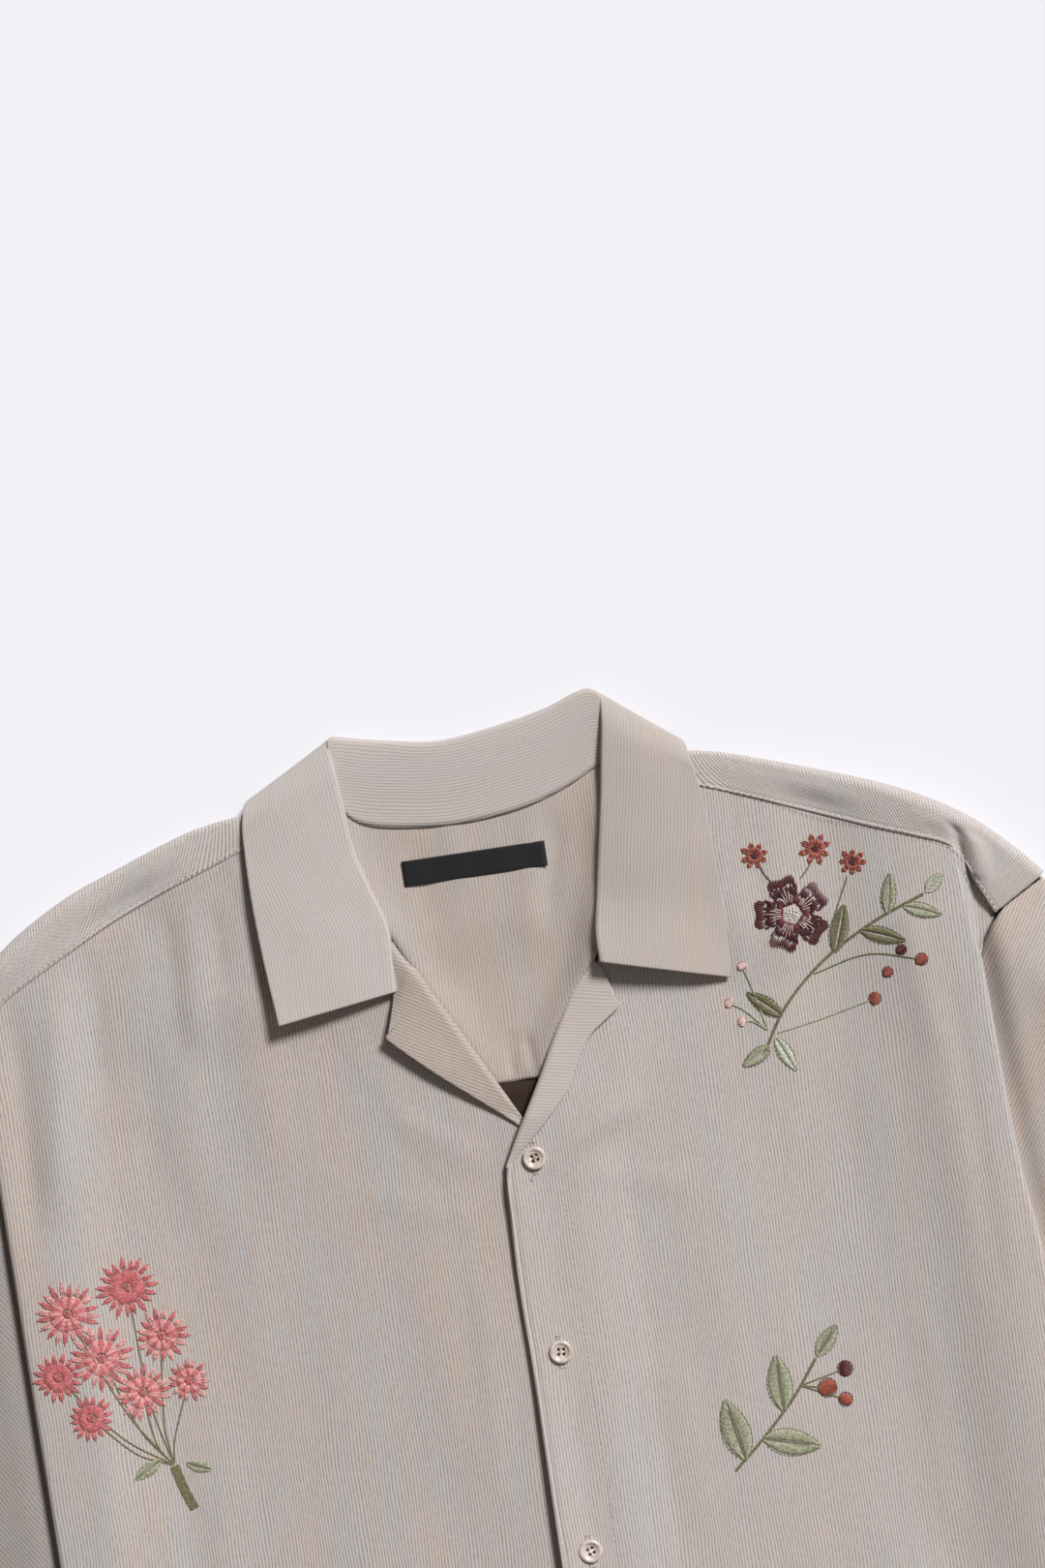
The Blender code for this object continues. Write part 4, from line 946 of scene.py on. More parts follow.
def lapel_piece(side, material, grain):
    """A lapel: the facing's top, rolled over the front's inner edge and laid back on the front."""
    share = np.concatenate([np.linspace(0, 0.985, LAPEL_ROWS), [0.99, 0.994, 0.998, 1]])
    rx, ry, ox, oy, lift = (v[:, None] for v in along_rows(side.lapel, share))
    out_r, out_o = side.sign * rx, side.sign * ox
    width = np.hypot(out_o - out_r, oy - ry)
    across = ((out_o - out_r) / width, (oy - ry) / width)
    low = front_height(side, np.maximum(out_r, front_inner(side, ry)), ry)
    radius = np.minimum(1.8 if side is LEFT else 3.0, 0.4 + 0.13 * width)
    radius = radius * (0.35 + 0.65 * smooth((ry - ry[0]) / 12))
    angle = np.linspace(-math.pi / 2, math.pi / 2, LAPEL_ARC)[None, :]
    near_edge = [0.84, 0.875, 0.905, 0.93, 0.95, 0.97, 0.985, 0.994, 1.0]
    s = np.concatenate([np.linspace(0, 0.8, LAPEL_STEPS)[1:], near_edge])[None, :]
    edge_z = front_height(side, out_o, oy) + lift
    reach = np.concatenate([radius - radius * np.cos(angle), mix(radius, width, s)], axis=1)
    rise = low + radius * (1 + np.sin(angle))
    z = np.concatenate([rise, mix(low + 2 * radius, edge_z, smooth(s))], axis=1)
    grid = np.stack([out_r + across[0] * reach, ry + across[1] * reach, z], axis=-1)
    gone = across_rows(grid)
    line = travel(grid[:, -1])[:, None]
    edge = np.minimum(gone[:, -1:] - gone, np.minimum(line, line[-1] - line) * 1.5)
    shape = rounded(edge, 0.9)
    top = (WALL + FLAP_LIP * turned_edge(edge)) * shape
    uv = grain_uv(side, grid, grain)
    parts = shell(grid[::-1], uv[::-1], top[::-1], WALL * shape[::-1], mirror=side.sign < 0)
    return mesh_object("facing_" + side.name + "_cloth", material, *parts)


# The sleeves and the cuffs


def sleeve_lines(side):
    """The armhole, and the sleeve's outer and inner outlines."""
    outer = np.array(SLEEVE_OUTER, float) + (side.shift + SEAM_GAP, 0)
    armhole = np.array(ARMHOLE, float) + (side.shift + SEAM_GAP, 0)
    end = outer[-1] - left_of(unit(outer[-1] - outer[-2])) * SLEEVE_END_WIDTH
    return armhole, outer, np.array([armhole[-1], mix(armhole[-1], end, 0.5) - 3, end])


def sleeve_plan(side, across, along):
    """Points of the sleeve seen from above, at shares across and along it."""
    armhole, outer, inner = sleeve_lines(side)
    a, b = point_along(outer, along), point_along(inner, along)
    across = np.asarray(across, float)
    curve = point_along(armhole, across) - mix(armhole[0], armhole[-1], across[..., None])
    return mix(a, b, across[..., None]) + curve * ((1 - np.asarray(along, float)) ** 4)[..., None]


def sleeve_top(side, across, along):
    """The height of the middle of the sleeve's upper layer."""
    plan = sleeve_plan(side, across, along)
    x, y = plan[..., 0], plan[..., 1]
    clear = x - column(side.edge, 1, y)
    edge = smooth(across / 0.16) * smooth((1 - across) / 0.16)
    swell = 4.4 * smooth((clear - 4) / 60) + 3.6 * smooth((clear - 2) / 11)
    z = SLEEVE_TOP_Z + swell * edge * mix(1.0, 0.45, along)
    for across0, along0, across1, along1, half_width, height in SLEEVE_FOLDS:
        ends = sleeve_plan(side, np.array([across0, across1]), np.array([along0, along1]))
        z = z + smooth((clear - 8) / 30) * edge * ridge(*ends.ravel(), half_width, height, x, y)
    head = smooth((0.17 - along) / 0.15) * smooth((0.42 - across) / 0.3)
    z = z + 5.0 * head * smooth((clear + 2) / 12)
    return z + 0.3 * ripple(x, y, 55, 11 + side.sign) * edge * smooth((clear - 6) / 24)


def sleeve_piece(side, material, grain):
    """A sleeve laid flat: the upper layer, a turned edge on each side and the low layer."""
    share = np.linspace(0, 1, SLEEVE_ROWS) ** 1.1
    inset = SLEEVE_EDGE_RADIUS / 120.0
    aa, ll = np.meshgrid(np.linspace(inset, 1 - inset, SLEEVE_TOP_COLUMNS), share)
    plan = sleeve_plan(side, aa, ll)
    top = np.concatenate([plan, sleeve_top(side, aa, ll)[..., None]], axis=-1)
    bb, kk = np.meshgrid(np.linspace(1 - inset, inset, SLEEVE_LOW_COLUMNS), share)
    low = np.concatenate([sleeve_plan(side, bb, kk), np.full(bb.shape + (1,), FLOOR_MID)], axis=-1)
    angle = np.linspace(0, math.pi, SLEEVE_TURN)[1:-1][None, :, None]
    outward = unit(plan[:, -1] - plan[:, 0])[:, None, :]

    def turn(first, second, way):
        middle, half = (first + second) / 2, (first[:, 2:] - second[:, 2:]) / 2
        flat = middle[:, None, :2] + way * SLEEVE_EDGE_RADIUS * np.sin(angle)
        return np.concatenate([flat, middle[:, None, 2:] + half[:, None] * np.cos(angle)], axis=-1)

    far, near = turn(top[:, -1], low[:, 0], outward), turn(low[:, -1], top[:, 0], -outward)
    grid = np.concatenate([top, far, low, near], axis=1)
    uv = grain_uv(side, grid, grain)
    parts = shell(grid[::-1], uv[::-1], WALL, WALL, closed=True, mirror=side.sign < 0)
    return mesh_object("sleeve_" + side.name + "_cloth", material, *parts)


def cuff_frame(side):
    """The cuff's corner, and the directions down and across it."""
    _, outer, inner = sleeve_lines(side)
    across = unit(inner[-1] - outer[-1])
    down = left_of(across)
    if down[1] > 0:
        down = -down
    return outer[-1] + across * (SLEEVE_END_WIDTH - CUFF_WIDTH) / 2 + down * SEAM_GAP, down, across


def cuff_point(side, across, down):
    """The place on the surface of a point of the cuff."""
    start, down_way, across_way = cuff_frame(side)
    p = start + across_way * across + down_way * down
    return side.sign * p[0], p[1]


def cuff_piece(side, material, grain):
    """A cuff: one band, folded at both sides and lapped over itself at its button."""
    radius, low, (lap_start, lap_end) = CUFF_RADIUS, CUFF_LOW, CUFF_LAP
    inner_z = low + 2 * radius
    outer_z = inner_z + 1.6 + SEAM_GAP

    def half_turn(centre, first):
        angles = mix(first, first + math.pi, np.linspace(0, 1, 9)[1:-1])
        return [(centre + radius * math.cos(a), low + radius + radius * math.sin(a)) for a in angles]

    path = [(a, inner_z) for a in np.linspace(lap_end, radius, 14)]
    path += half_turn(radius, math.pi / 2)
    path += [(a, low) for a in np.linspace(radius, CUFF_WIDTH - radius, 20)]
    path += half_turn(CUFF_WIDTH - radius, -math.pi / 2)
    path += [(a, inner_z) for a in np.linspace(CUFF_WIDTH - radius, lap_start, 14)]
    path += [(a, mix(outer_z, inner_z, smooth((a - 34) / (lap_start - 34)))) for a in np.linspace(46, 34, 7)]
    path += [(a, outer_z) for a in np.append(np.linspace(32, 13.5, 16), [12.9, 12.5, 12.2, 12.0])]
    path = np.array(path)
    down = fine_both([0, 0.3, 0.8, 1.6], 3, CUFF_LENGTH, 24)
    start, down_way, across_way = cuff_frame(side)
    plan = start + across_way * path[None, :, :1] + down_way * down[:, None, None]
    grid = np.concatenate([plan, np.broadcast_to(path[None, :, 1:], plan.shape[:2] + (1,))], axis=-1)
    length = travel(path)
    edge = np.minimum(down, CUFF_LENGTH - down)[:, None]
    edge = np.minimum(edge, np.minimum(length, length[-1] - length)[None, :])
    wall = COLLAR_WALL * rounded(edge, 0.9)
    parts = shell(grid, grain_uv(side, grid, grain), wall, wall, mirror=side.sign < 0)
    return mesh_object("cuff_" + side.name + "_cloth", material, *parts)


# The buttons and the label

BUTTON_PROFILE = (
    (5.1, 0.0), (5.5, 0.5), (5.74, 1.2), (5.7, 1.8), (5.4, 2.25), (4.9, 2.4), (4.3, 2.34), (3.8, 2.05),
    (3.5, 1.7), (3.1, 1.55),
)
BUTTON_TURNS = (0.2, -0.1, 0.35, 0.05, -0.2, 0.15)
CUFF_BUTTON_TURN = 0.3
HOLE_FROM_MIDDLE, HOLE_RADIUS, HOLE_SIDES, BUTTON_SIDES = 1.75, 0.72, 14, 48


def button_place(i):
    """Where a front button sits. The top one is a little off the line of the others."""
    return (1.2, -2.6) if i == 0 else (0.0, -BUTTON_PITCH * i)


def circle(count, x, y, radius, z):
    angle = np.linspace(0, 2 * math.pi, count, endpoint=False)
    return np.stack([x + radius * np.cos(angle), y + radius * np.sin(angle), np.full(count, z)], axis=-1)


def turned_solid(rings):
    """(points, faces) of a closed solid through rings of points, with flat ends."""
    number = np.arange(len(rings) * len(rings[0])).reshape(len(rings), -1)
    after = np.roll(number, -1, axis=1)
    sides = np.stack([number[:-1], after[:-1], after[1:], number[1:]], axis=-1).reshape(-1, 4)
    return np.concatenate(rings), sides.tolist() + [number[0, ::-1].tolist(), number[-1].tolist()]


def button_piece(node, x, y, turn, material, hole_shade_material):
    """A turned button with a raised rim, a dished middle and four thread holes. The holes' walls take a dark
    brown material: painted shade in the holes.
    """
    z = box_foot(node)
    rings = [circle(BUTTON_SIDES, x, y, radius, z + height) for radius, height in BUTTON_PROFILE]
    body = mesh_object(node + "_body", material, *turned_solid(rings))
    points, faces = [], []
    for k in range(4):
        cx, cy = (x, y) + HOLE_FROM_MIDDLE * heading(turn + math.pi / 4 + k * math.pi / 2)
        hole, sides = turned_solid([circle(HOLE_SIDES, cx, cy, HOLE_RADIUS, h) for h in (z - 1, z + 5)])
        faces += [[len(hole) * k + n for n in face] for face in sides]
        points.append(hole)
    # The drill's dark brown material goes onto the holes' walls: painted shade in the holes.
    tool = mesh_object(node + "_drill", hole_shade_material, np.concatenate(points), faces)
    cut = body.modifiers.new("holes", "BOOLEAN")
    cut.operation = "DIFFERENCE"
    cut.material_mode = "TRANSFER"
    cut.object = tool
    bpy.context.view_layer.update()
    mesh = bpy.data.meshes.new_from_object(body.evaluated_get(bpy.context.evaluated_depsgraph_get()))
    for obj in (body, tool):
        bpy.data.objects.remove(obj)
    mesh.name = node + "_turned"
    obj = bpy.data.objects.new(node + "_turned", mesh)
    bpy.context.scene.collection.objects.link(obj)
    return obj


def label_piece(material):
    """The label's bare strip, with a slight swell."""
    low, high = (np.array(p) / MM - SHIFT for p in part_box("label"))
    middle, width = LABEL_CENTRE[1], LABEL_SIZE[1]
    ys = fine_both([0, 0.25, 0.6], 1.2, width, 12) - width / 2 + middle
    xx, yy = np.meshgrid(np.linspace(low[0], high[0], 60), ys)
    zz = (low[2] + high[2]) / 2 + 0.12 * ripple(xx, yy, 30, 2)
    edge = np.minimum(np.minimum(xx - low[0], high[0] - xx), width / 2 - abs(yy - middle))
    wall = LABEL_WALL * rounded(edge, 0.5)
    grid = np.stack([xx, yy, zz], axis=-1)
    return mesh_object("label_cloth", material, *shell(grid, grid[..., :2], wall, wall))


# Stitching


class Stitches:
    """Collects short threads and makes one object of them, each thread a thin spindle."""

    def __init__(self, seed):
        self.random = np.random.default_rng(seed)
        self.threads = []

    def add(self, starts, ends, radius, kind=0, lift=0.0):
        """Threads between points, of one radius and one material, with their middles lifted."""
        starts, ends = np.atleast_2d(starts), np.atleast_2d(ends)
        each = (np.full(len(starts), value) for value in (radius, lift, kind))
        self.threads.append((starts, ends, *each))

    def build(self, name, materials, sides=5):
        a, b, radius, lift, kinds = (np.concatenate(values) for values in zip(*self.threads))
        way = unit(b - a)
        up = unit(np.array([0.0, 0.0, 1.0]) - way * way[:, 2:])
        side = np.cross(way, up)
        length = np.linalg.norm(b - a, axis=-1)
        angle = np.linspace(0, 2 * math.pi, sides, endpoint=False)[None, :, None]
        offset = side[:, None, :] * np.cos(angle) + up[:, None, :] * np.sin(angle)
        rings = []
        for share, full in ((0.16, 0.86), (0.5, 1.0), (0.84, 0.86)):
            middle = a + (b - a) * share + up * (lift * math.sin(math.pi * share))[:, None]
            r = np.minimum(radius * full, 0.4 * length)
            rings.append(middle[:, None, :] + offset * r[:, None, None])
        points = np.concatenate([a[:, None, :], *rings, b[:, None, :]], axis=1)
        per = points.shape[1]
        faces = []
        for k in range(sides):
            n = (k + 1) % sides
            faces.append([0, 1 + n, 1 + k])
            for low, high in ((1, 1 + sides), (1 + sides, 1 + 2 * sides)):
                faces.append([low + k, low + n, high + n, high + k])
            faces.append([per - 1, 1 + 2 * sides + k, 1 + 2 * sides + n])
        base = np.arange(len(a))[:, None] * per
        lists = [corners for face in faces for corners in (base + np.array(face)[None, :]).tolist()]
        obj = mesh_object(name, materials[0], points.reshape(-1, 3), lists)
        for material in materials[1:]:
            obj.data.materials.append(material)
        obj.data.polygons.foreach_set("material_index", np.tile(kinds, len(faces)).astype(np.int32))
        return obj


def on_surface(height, x, y, lift=0.0):
    """Points on a surface, or a little above it."""
    x, y = np.asarray(x, float), np.asarray(y, float)
    return np.stack([x, y, height(x, y) + lift], axis=-1)


def seam_stitches(stitches, line):
    """A row of machine stitches along a line of points on the cloth."""
    line = np.asarray(line, float)
    begins = np.arange(0.3, travel(line)[-1] - STITCH_LENGTH, STITCH_LENGTH + STITCH_GAP)
    a, b = point_at(line, begins), point_at(line, begins + STITCH_LENGTH)
    a[:, 2] -= STITCH_SINK
    b[:, 2] -= STITCH_SINK
    stitches.add(a, b, STITCH_RADIUS, lift=STITCH_SINK + 0.1)


def sewing_piece(material):
    """Machine stitching: the yoke's edges, the hem, the cuffs, the buttonholes and the button threads."""
    work = Stitches(5)
    for side in (LEFT, RIGHT):
        x, y, edge_x, edge_y, z = shoulder_line(side, 140)[:5]
        back = unit(np.stack([x - edge_x, y - edge_y], axis=-1)) * YOKE_SEAM
        line = np.stack([side.sign * (edge_x + back[:, 0]), edge_y + back[:, 1], z + WALL + 0.42], axis=-1)
        seam_stitches(work, line)
        way = unit(np.array([x[-14] - x[-1], y[-14] - y[-1], 0.0]))
        edge, fold = np.array([edge_x[-1], edge_y[-1], z[-1]]), np.array([x[-1], y[-1], z[-1]])
        line = mix(edge, fold, np.linspace(0.04, 0.9, 20)[:, None]) + way * SHOULDER_SEAM
        line[:, 0] *= side.sign
        line[:, 2] += WALL + 0.12
        seam_stitches(work, line)
        x = side.sign * np.linspace(-13.0, column(side.edge, 1, HEM_Y) - 4, 260)
        y = np.full_like(x, HEM_Y + HEM_SEAM)
        seam_stitches(work, on_surface(lambda p, q: front_top(side, p, q), x, y, 0.36))
        for down in (CUFF_SEAM, CUFF_LENGTH - CUFF_SEAM):
            seam_stitches(work, [cuff_point(side, a, down) + (7.0,) for a in np.linspace(14, 30, 12)])

    def top(x, y):
        return front_top(LEFT, x, y)

    y = np.linspace(HEM_Y + 1, -24, 600)
    seam_stitches(work, on_surface(top, np.full_like(y, PLACKET_SEAM), y, 0.02))
    for i in range(len(BUTTON_TURNS)):
        cx, cy = button_place(i)
        for edge in (-BUTTONHOLE_HALF_WIDTH, BUTTONHOLE_HALF_WIDTH):
            y = np.arange(*BUTTONHOLE_REACH[:2], 0.34)
            y = np.concatenate([cy - y, cy + y])
            x = np.full_like(y, cx + edge)
            a, b = on_surface(top, x - BAR_HALF, y), on_surface(top, x + BAR_HALF, y)
            work.add(a, b, STITCH_RADIUS, lift=0.25)
        if i == 0:
            tail = np.array([(cx - 0.6, cy - 7.0), (cx - 2.2, cy - 9.0), (cx - 3.0, cy - 11.4)])
            a, b = on_surface(top, *tail[:-1].T, 0.3), on_surface(top, *tail[1:].T, 0.3)
            work.add(a, b, 0.24, lift=0.5)
        for end in (-BUTTONHOLE_REACH[2], BUTTONHOLE_REACH[2]):
            x = np.arange(cx - 1.5, cx + 1.6, 0.35)
            y = np.full_like(x, cy + end)
            work.add(on_surface(top, x, y - 0.5), on_surface(top, x, y + 0.5), STITCH_RADIUS, lift=0.25)
    return work.build("machine_stitching", [material])


# The embroidery

WINE, MAROON, RUST, ROSE, PALE_ROSE, OLIVE, SAGE, MINT, BLUSH, CREAM = range(10)
THREAD_COLOURS = (
    (92, 40, 46), (74, 28, 36), (152, 80, 64), (188, 104, 106), (206, 146, 142), (112, 108, 78),
    (154, 156, 130), (182, 188, 168), (214, 188, 182), (224, 214, 200),
)


def leaf_half(width, t):
    """Half a leaf's width at shares of its length."""
    return width / 2 * np.sin(math.pi * t**0.85) ** 0.8


class Embroidery:
    """Stitches laid on one front. Points are x, y on the cloth, in millimetres."""

    def __init__(self, side, seed):
        self.side = side
        self.stitches = Stitches(seed)
        self.random = self.stitches.random

    def height(self, x, y):
        return front_top(self.side, x, y)

    def line(self, a, b, kind, radius=0.3, lift=0.25, base=0.05):
        """Stitches between points on the cloth."""
        a, b = (on_surface(self.height, *np.atleast_2d(p).T, base - 0.1) for p in (a, b))
        self.stitches.add(a, b, radius, kind, lift)

    def stem(self, points, kind, radius=0.38, rows=1):
        """Rope stitch along a line."""
        line = point_along(points, np.linspace(0, 1, 60))
        begins = np.arange(0, travel(line)[-1] - 2.4, 1.25)
        for row in range(rows):
            a, b = point_at(line, begins), point_at(line, begins + 2.6)
            across = unit(b - a)[:, ::-1] * np.array([-1.0, 1.0])
            offset = (row - (rows - 1) / 2) * 0.75
            self.line(a + across * (offset - 0.22), b + across * (offset + 0.22), kind, radius, 0.3)

    def leaf(self, base, tip, width, kind, vein=None):
        """A leaf of slanting satin stitches that meet at the midrib."""
        base, tip = np.asarray(base, float), np.asarray(tip, float)
        length = np.hypot(*(tip - base))
        way = (tip - base) / length
        across = left_of(way)
        count = max(8, int(length / 0.62))
        t = np.linspace(0.03, 0.97, count)
        half = leaf_half(width, t)
        inner = base + way * (t * length)[:, None]
        start = base + way * (np.maximum(t - 0.55 * half / length, 0) * length)[:, None]
        for sign in (1, -1):
            edge = inner + across * (sign * half)[:, None] + way * (0.25 * half)[:, None]
            jitter = self.random.normal(0, 0.12, (count, 2))
            self.line(start + across * sign * 0.15, edge + jitter, kind, 0.4, 0.42)
        if vein is not None:
            self.stem([base, mix(base, tip, 0.5) + across * 0.3, tip], vein, 0.26)

    def outline(self, base, tip, width, kind):
        """A leaf's edge in back stitch."""
        base, tip = np.asarray(base, float), np.asarray(tip, float)
        way = unit(tip - base)
        length = np.hypot(*(tip - base))
        t = np.linspace(0, 1, max(9, int(length / 1.9)))
        for sign in (1, -1):
            half = sign * (leaf_half(width, t) + 0.25)
            p = base + way * (t * length)[:, None] + left_of(way) * half[:, None]
            self.line(p[:-1], p[1:], kind, 0.26, 0.2)

    def petal(self, centre, angle, inner, outer, width, kinds, count=15):
        """A broad petal of long and short stitches from its foot to its edge."""
        way = heading(angle)
        s = np.linspace(-1, 1, count)
        full = np.sqrt(np.clip(1 - (0.9 * s) ** 4, 0, 1)) * (1 - 0.08 * np.cos(3 * s))
        reach = mix(inner, outer, full)

        def place(far):
            side = s * width / 2 * mix(0.35, 1.0, far / outer)
            return centre + way * far[:, None] + left_of(way) * side[:, None]

        for row, kind in enumerate(kinds):
            low = row / len(kinds) - 0.12 + self.random.uniform(0, 0.14, count)
            high = (row + 1) / len(kinds) + self.random.uniform(-0.1, 0.06, count)
            foot = inner + (reach - inner) * np.clip(low, 0, 1)
            head = inner + (reach - inner) * np.clip(high, 0, 1)
            if row == len(kinds) - 1:
                head = reach
            self.line(place(foot), place(head), kind, 0.46, 0.5 + 0.1 * row)

    def daisy(self, centre, radius, petals, kinds, heart, gap=1.8, turn=0.0):
        """A daisy: each petal three long stitches, and a heart of knots."""
        centre = np.asarray(centre, float)
        half = min(1.35, 2 * math.pi * radius / petals * 0.19)
        for k in range(petals):
            way = heading(turn + 2 * math.pi * k / petals + self.random.normal(0, 0.03))
            across = left_of(way)
            reach = radius * self.random.uniform(0.88, 1.06)
            kind = kinds[k % len(kinds)]
            for offset, short in ((-half, 0.9), (0.0, 1.0), (half, 0.88)):
                a = centre + way * gap + across * offset * 0.35
                middle = centre + way * mix(gap, reach, 0.55) + across * offset
                b = centre + way * reach * short + across * offset * 0.6
                self.line(a, middle, kind, 0.55, 0.3)
                self.line(mix(a, middle, 0.85), b, kind, 0.52, 0.35)
        self.knots(centre, gap * 0.95, 12, heart)

    def knots(self, centre, spread, count, kind, radius=0.72):
        """Small wound knots, close together round a centre."""
        for k in range(count):
            a = 2.4 * k
            p = centre + heading(a) * spread * math.sqrt((k + 0.5) / count)
            for turn in range(3):
                way = heading(a + turn * 1.05) * radius
                self.line(p - way, p + way, kind, 0.42, 0.55, 0.15)

    def berry(self, centre, radius, kind, edge):
        """A round filled spot of satin stitches with a wound edge."""
        offset = np.arange(-radius * 0.92, radius * 0.93, 0.55)
        half = np.sqrt(np.maximum(radius**2 - offset**2, 0.05))
        way = heading(self.random.uniform(0, math.pi))
        middle = np.asarray(centre, float) + left_of(way) * offset[:, None]
        self.line(middle - way * half[:, None], middle + way * half[:, None], kind, 0.42, 0.75)
        angle = np.linspace(0, 2 * math.pi, max(9, int(radius * 3.6)))
        ring = centre + np.stack([np.cos(angle), np.sin(angle)], axis=-1) * (radius + 0.2)
        self.line(ring[:-1], ring[1:], edge, 0.28, 0.15)


def shoulder_spray(materials):
    """A branch with leaves and berries, a broad flower and three small ones."""
    work = Embroidery(LEFT, 21)
    work.stem([(120, 30), (134, 52), (156, 72), (184, 88), (210, 98)], OLIVE, rows=2)
    work.stem([(150, 66), (178, 72), (203, 66)], OLIVE)
    work.stem([(128, 40), (152, 44), (178, 50)], SAGE)
    for base, tip, width, kind in (
        ((162, 75), (170, 98), 9, OLIVE), ((176, 84), (197, 76), 8, OLIVE), ((190, 90), (194, 110), 7, SAGE),
        ((198, 93), (216, 86), 7, SAGE), ((210, 98), (219, 106), 6, MINT), ((132, 48), (116, 62), 8, OLIVE),
        ((124, 34), (109, 26), 7, SAGE), ((127, 38), (135, 20), 7, MINT),
    ):
        work.leaf(base, tip, width, kind)
        work.outline(base, tip, width, OLIVE)
    bloom = np.array((144, 97))
    for k in range(5):
        angle = math.radians(101 + 72 * k)
        work.petal(bloom, angle, 4.0, 19.5, 17, (WINE, MAROON, WINE))
        for spread in (-0.3, -0.15, 0, 0.15, 0.3):
            way = heading(angle + spread)
            work.line(bloom + way * 5, bloom + way * (14.5 - 16 * abs(spread)), BLUSH, 0.24, 0.9, 0.55)
    work.knots(bloom, 3.2, 12, CREAM, 0.6)
    berries = ((203, 66, 3.0, RUST), (194, 72, 2.6, WINE), (186, 62, 2.6, RUST), (178, 50, 3.0, RUST))
    for x, y, r, kind in berries:
        work.berry((x, y), r, kind, MAROON)
    foot = np.array((124, 42))
    for x, y in ((112, 48), (107, 58), (116, 75)):
        work.stem([foot, mix(foot, np.array((x, y)), 0.6) + (0, 2), (x, y)], SAGE)
        work.berry((x, y), 2.3, BLUSH, PALE_ROSE)
    for x, y, r, turn in ((160, 127, 8.5, 0.2), (130, 128, 7.5, 1.0), (177, 118, 7.0, 0.6)):
        work.daisy((x, y), r, 8, (RUST,), WINE, 1.6, turn)
    work.stem([(150, 113), (155, 118), (157, 121)], OLIVE)
    work.stem([(137, 113), (133, 119), (132, 123)], OLIVE)
    work.stem([(163, 90), (170, 104), (174, 112)], OLIVE)
    return work.stitches.build("embroidery_shoulder", materials)


def chest_bouquet(materials):
    """A bunch of eight daisies on thin stalks, tied at the foot."""
    work = Embroidery(RIGHT, 22)
    foot = (-196, -126)
    heads = (
        (-236, -44, 16.5, 20, (ROSE, PALE_ROSE), 0.1), (-206, -36, 16.0, 19, (ROSE, ROSE), 0.3),
        (-223, -68, 16.5, 20, (PALE_ROSE, ROSE), 0.5), (-193, -62, 14.0, 17, (ROSE, PALE_ROSE), 0.2),
        (-245, -74, 13.0, 16, (ROSE, ROSE), 0.4), (-206, -88, 14.5, 18, (ROSE, PALE_ROSE), 0.0),
        (-183, -86, 11.5, 15, (PALE_ROSE, ROSE), 0.3), (-232, -96, 12.0, 16, (ROSE, ROSE), 0.1),
    )
    for x, y, *_ in heads:
        work.stem([(x, y), mix(np.array((x, y)), np.array(foot), 0.62) - 3.0, foot], OLIVE)
    work.stem([foot, (-193, -138), (-189, -149)], OLIVE, 0.5, rows=6)
    for base, tip, width in (((-202, -122), (-216, -130), 7), ((-190, -126), (-178, -131), 6)):
        work.leaf(base, tip, width, SAGE, OLIVE)
    for x, y, r, n, kinds, turn in heads:
        work.daisy((x, y), r, n, kinds, ROSE, turn=turn)
    return work.stitches.build("embroidery_bouquet", materials)


def chest_sprig(materials):
    """A sprig with four leaves and three berries."""
    work = Embroidery(LEFT, 23)
    work.stem([(76, -170), (92, -156), (110, -138), (124, -120)], OLIVE, rows=2)
    for base, tip, width in (
        ((82, -165), (76, -134), 14), ((92, -156), (120, -164), 13), ((104, -144), (104, -116), 12),
        ((124, -120), (136, -106), 8),
    ):
        work.leaf(base, tip, width, SAGE)
        work.outline(base, tip, width, OLIVE)
        work.stem([base, mix(np.array(base), np.array(tip), 0.85)], OLIVE, 0.26)
    for x, y, r, kind in ((127, -136, 4.6, RUST), (137, -128, 3.8, WINE), (135, -143, 3.4, RUST)):
        work.stem([(114, -133), (x, y)], OLIVE)
        work.berry((x, y), r, kind, MAROON)
    return work.stitches.build("embroidery_sprig", materials)


# Materials


def tint(colour, scale):
    """An sRGB colour of 0 to 255 as linear values, scaled, with its alpha."""
    values = np.array(colour) / 255
    values = np.where(values <= 0.04045, values / 12.92, ((values + 0.055) / 1.055) ** 2.4)
    return (*np.minimum(values * scale, 1).tolist(), 1)


class Number:
    """A value inside a shader, which adds and multiplies like a number."""

    def __init__(self, graph, socket):
        self.graph, self.socket = graph, socket

    def __add__(self, other):
        return self.graph.math("ADD", self, other)

    def __sub__(self, other):
        return self.graph.math("SUBTRACT", self, other)

    def __rsub__(self, other):
        return self.graph.math("SUBTRACT", other, self)

    def __mul__(self, other):
        return self.graph.math("MULTIPLY", self, other)

    def __truediv__(self, other):
        return self.graph.math("DIVIDE", self, other)

    def __pow__(self, other):
        return self.graph.math("POWER", self, other)


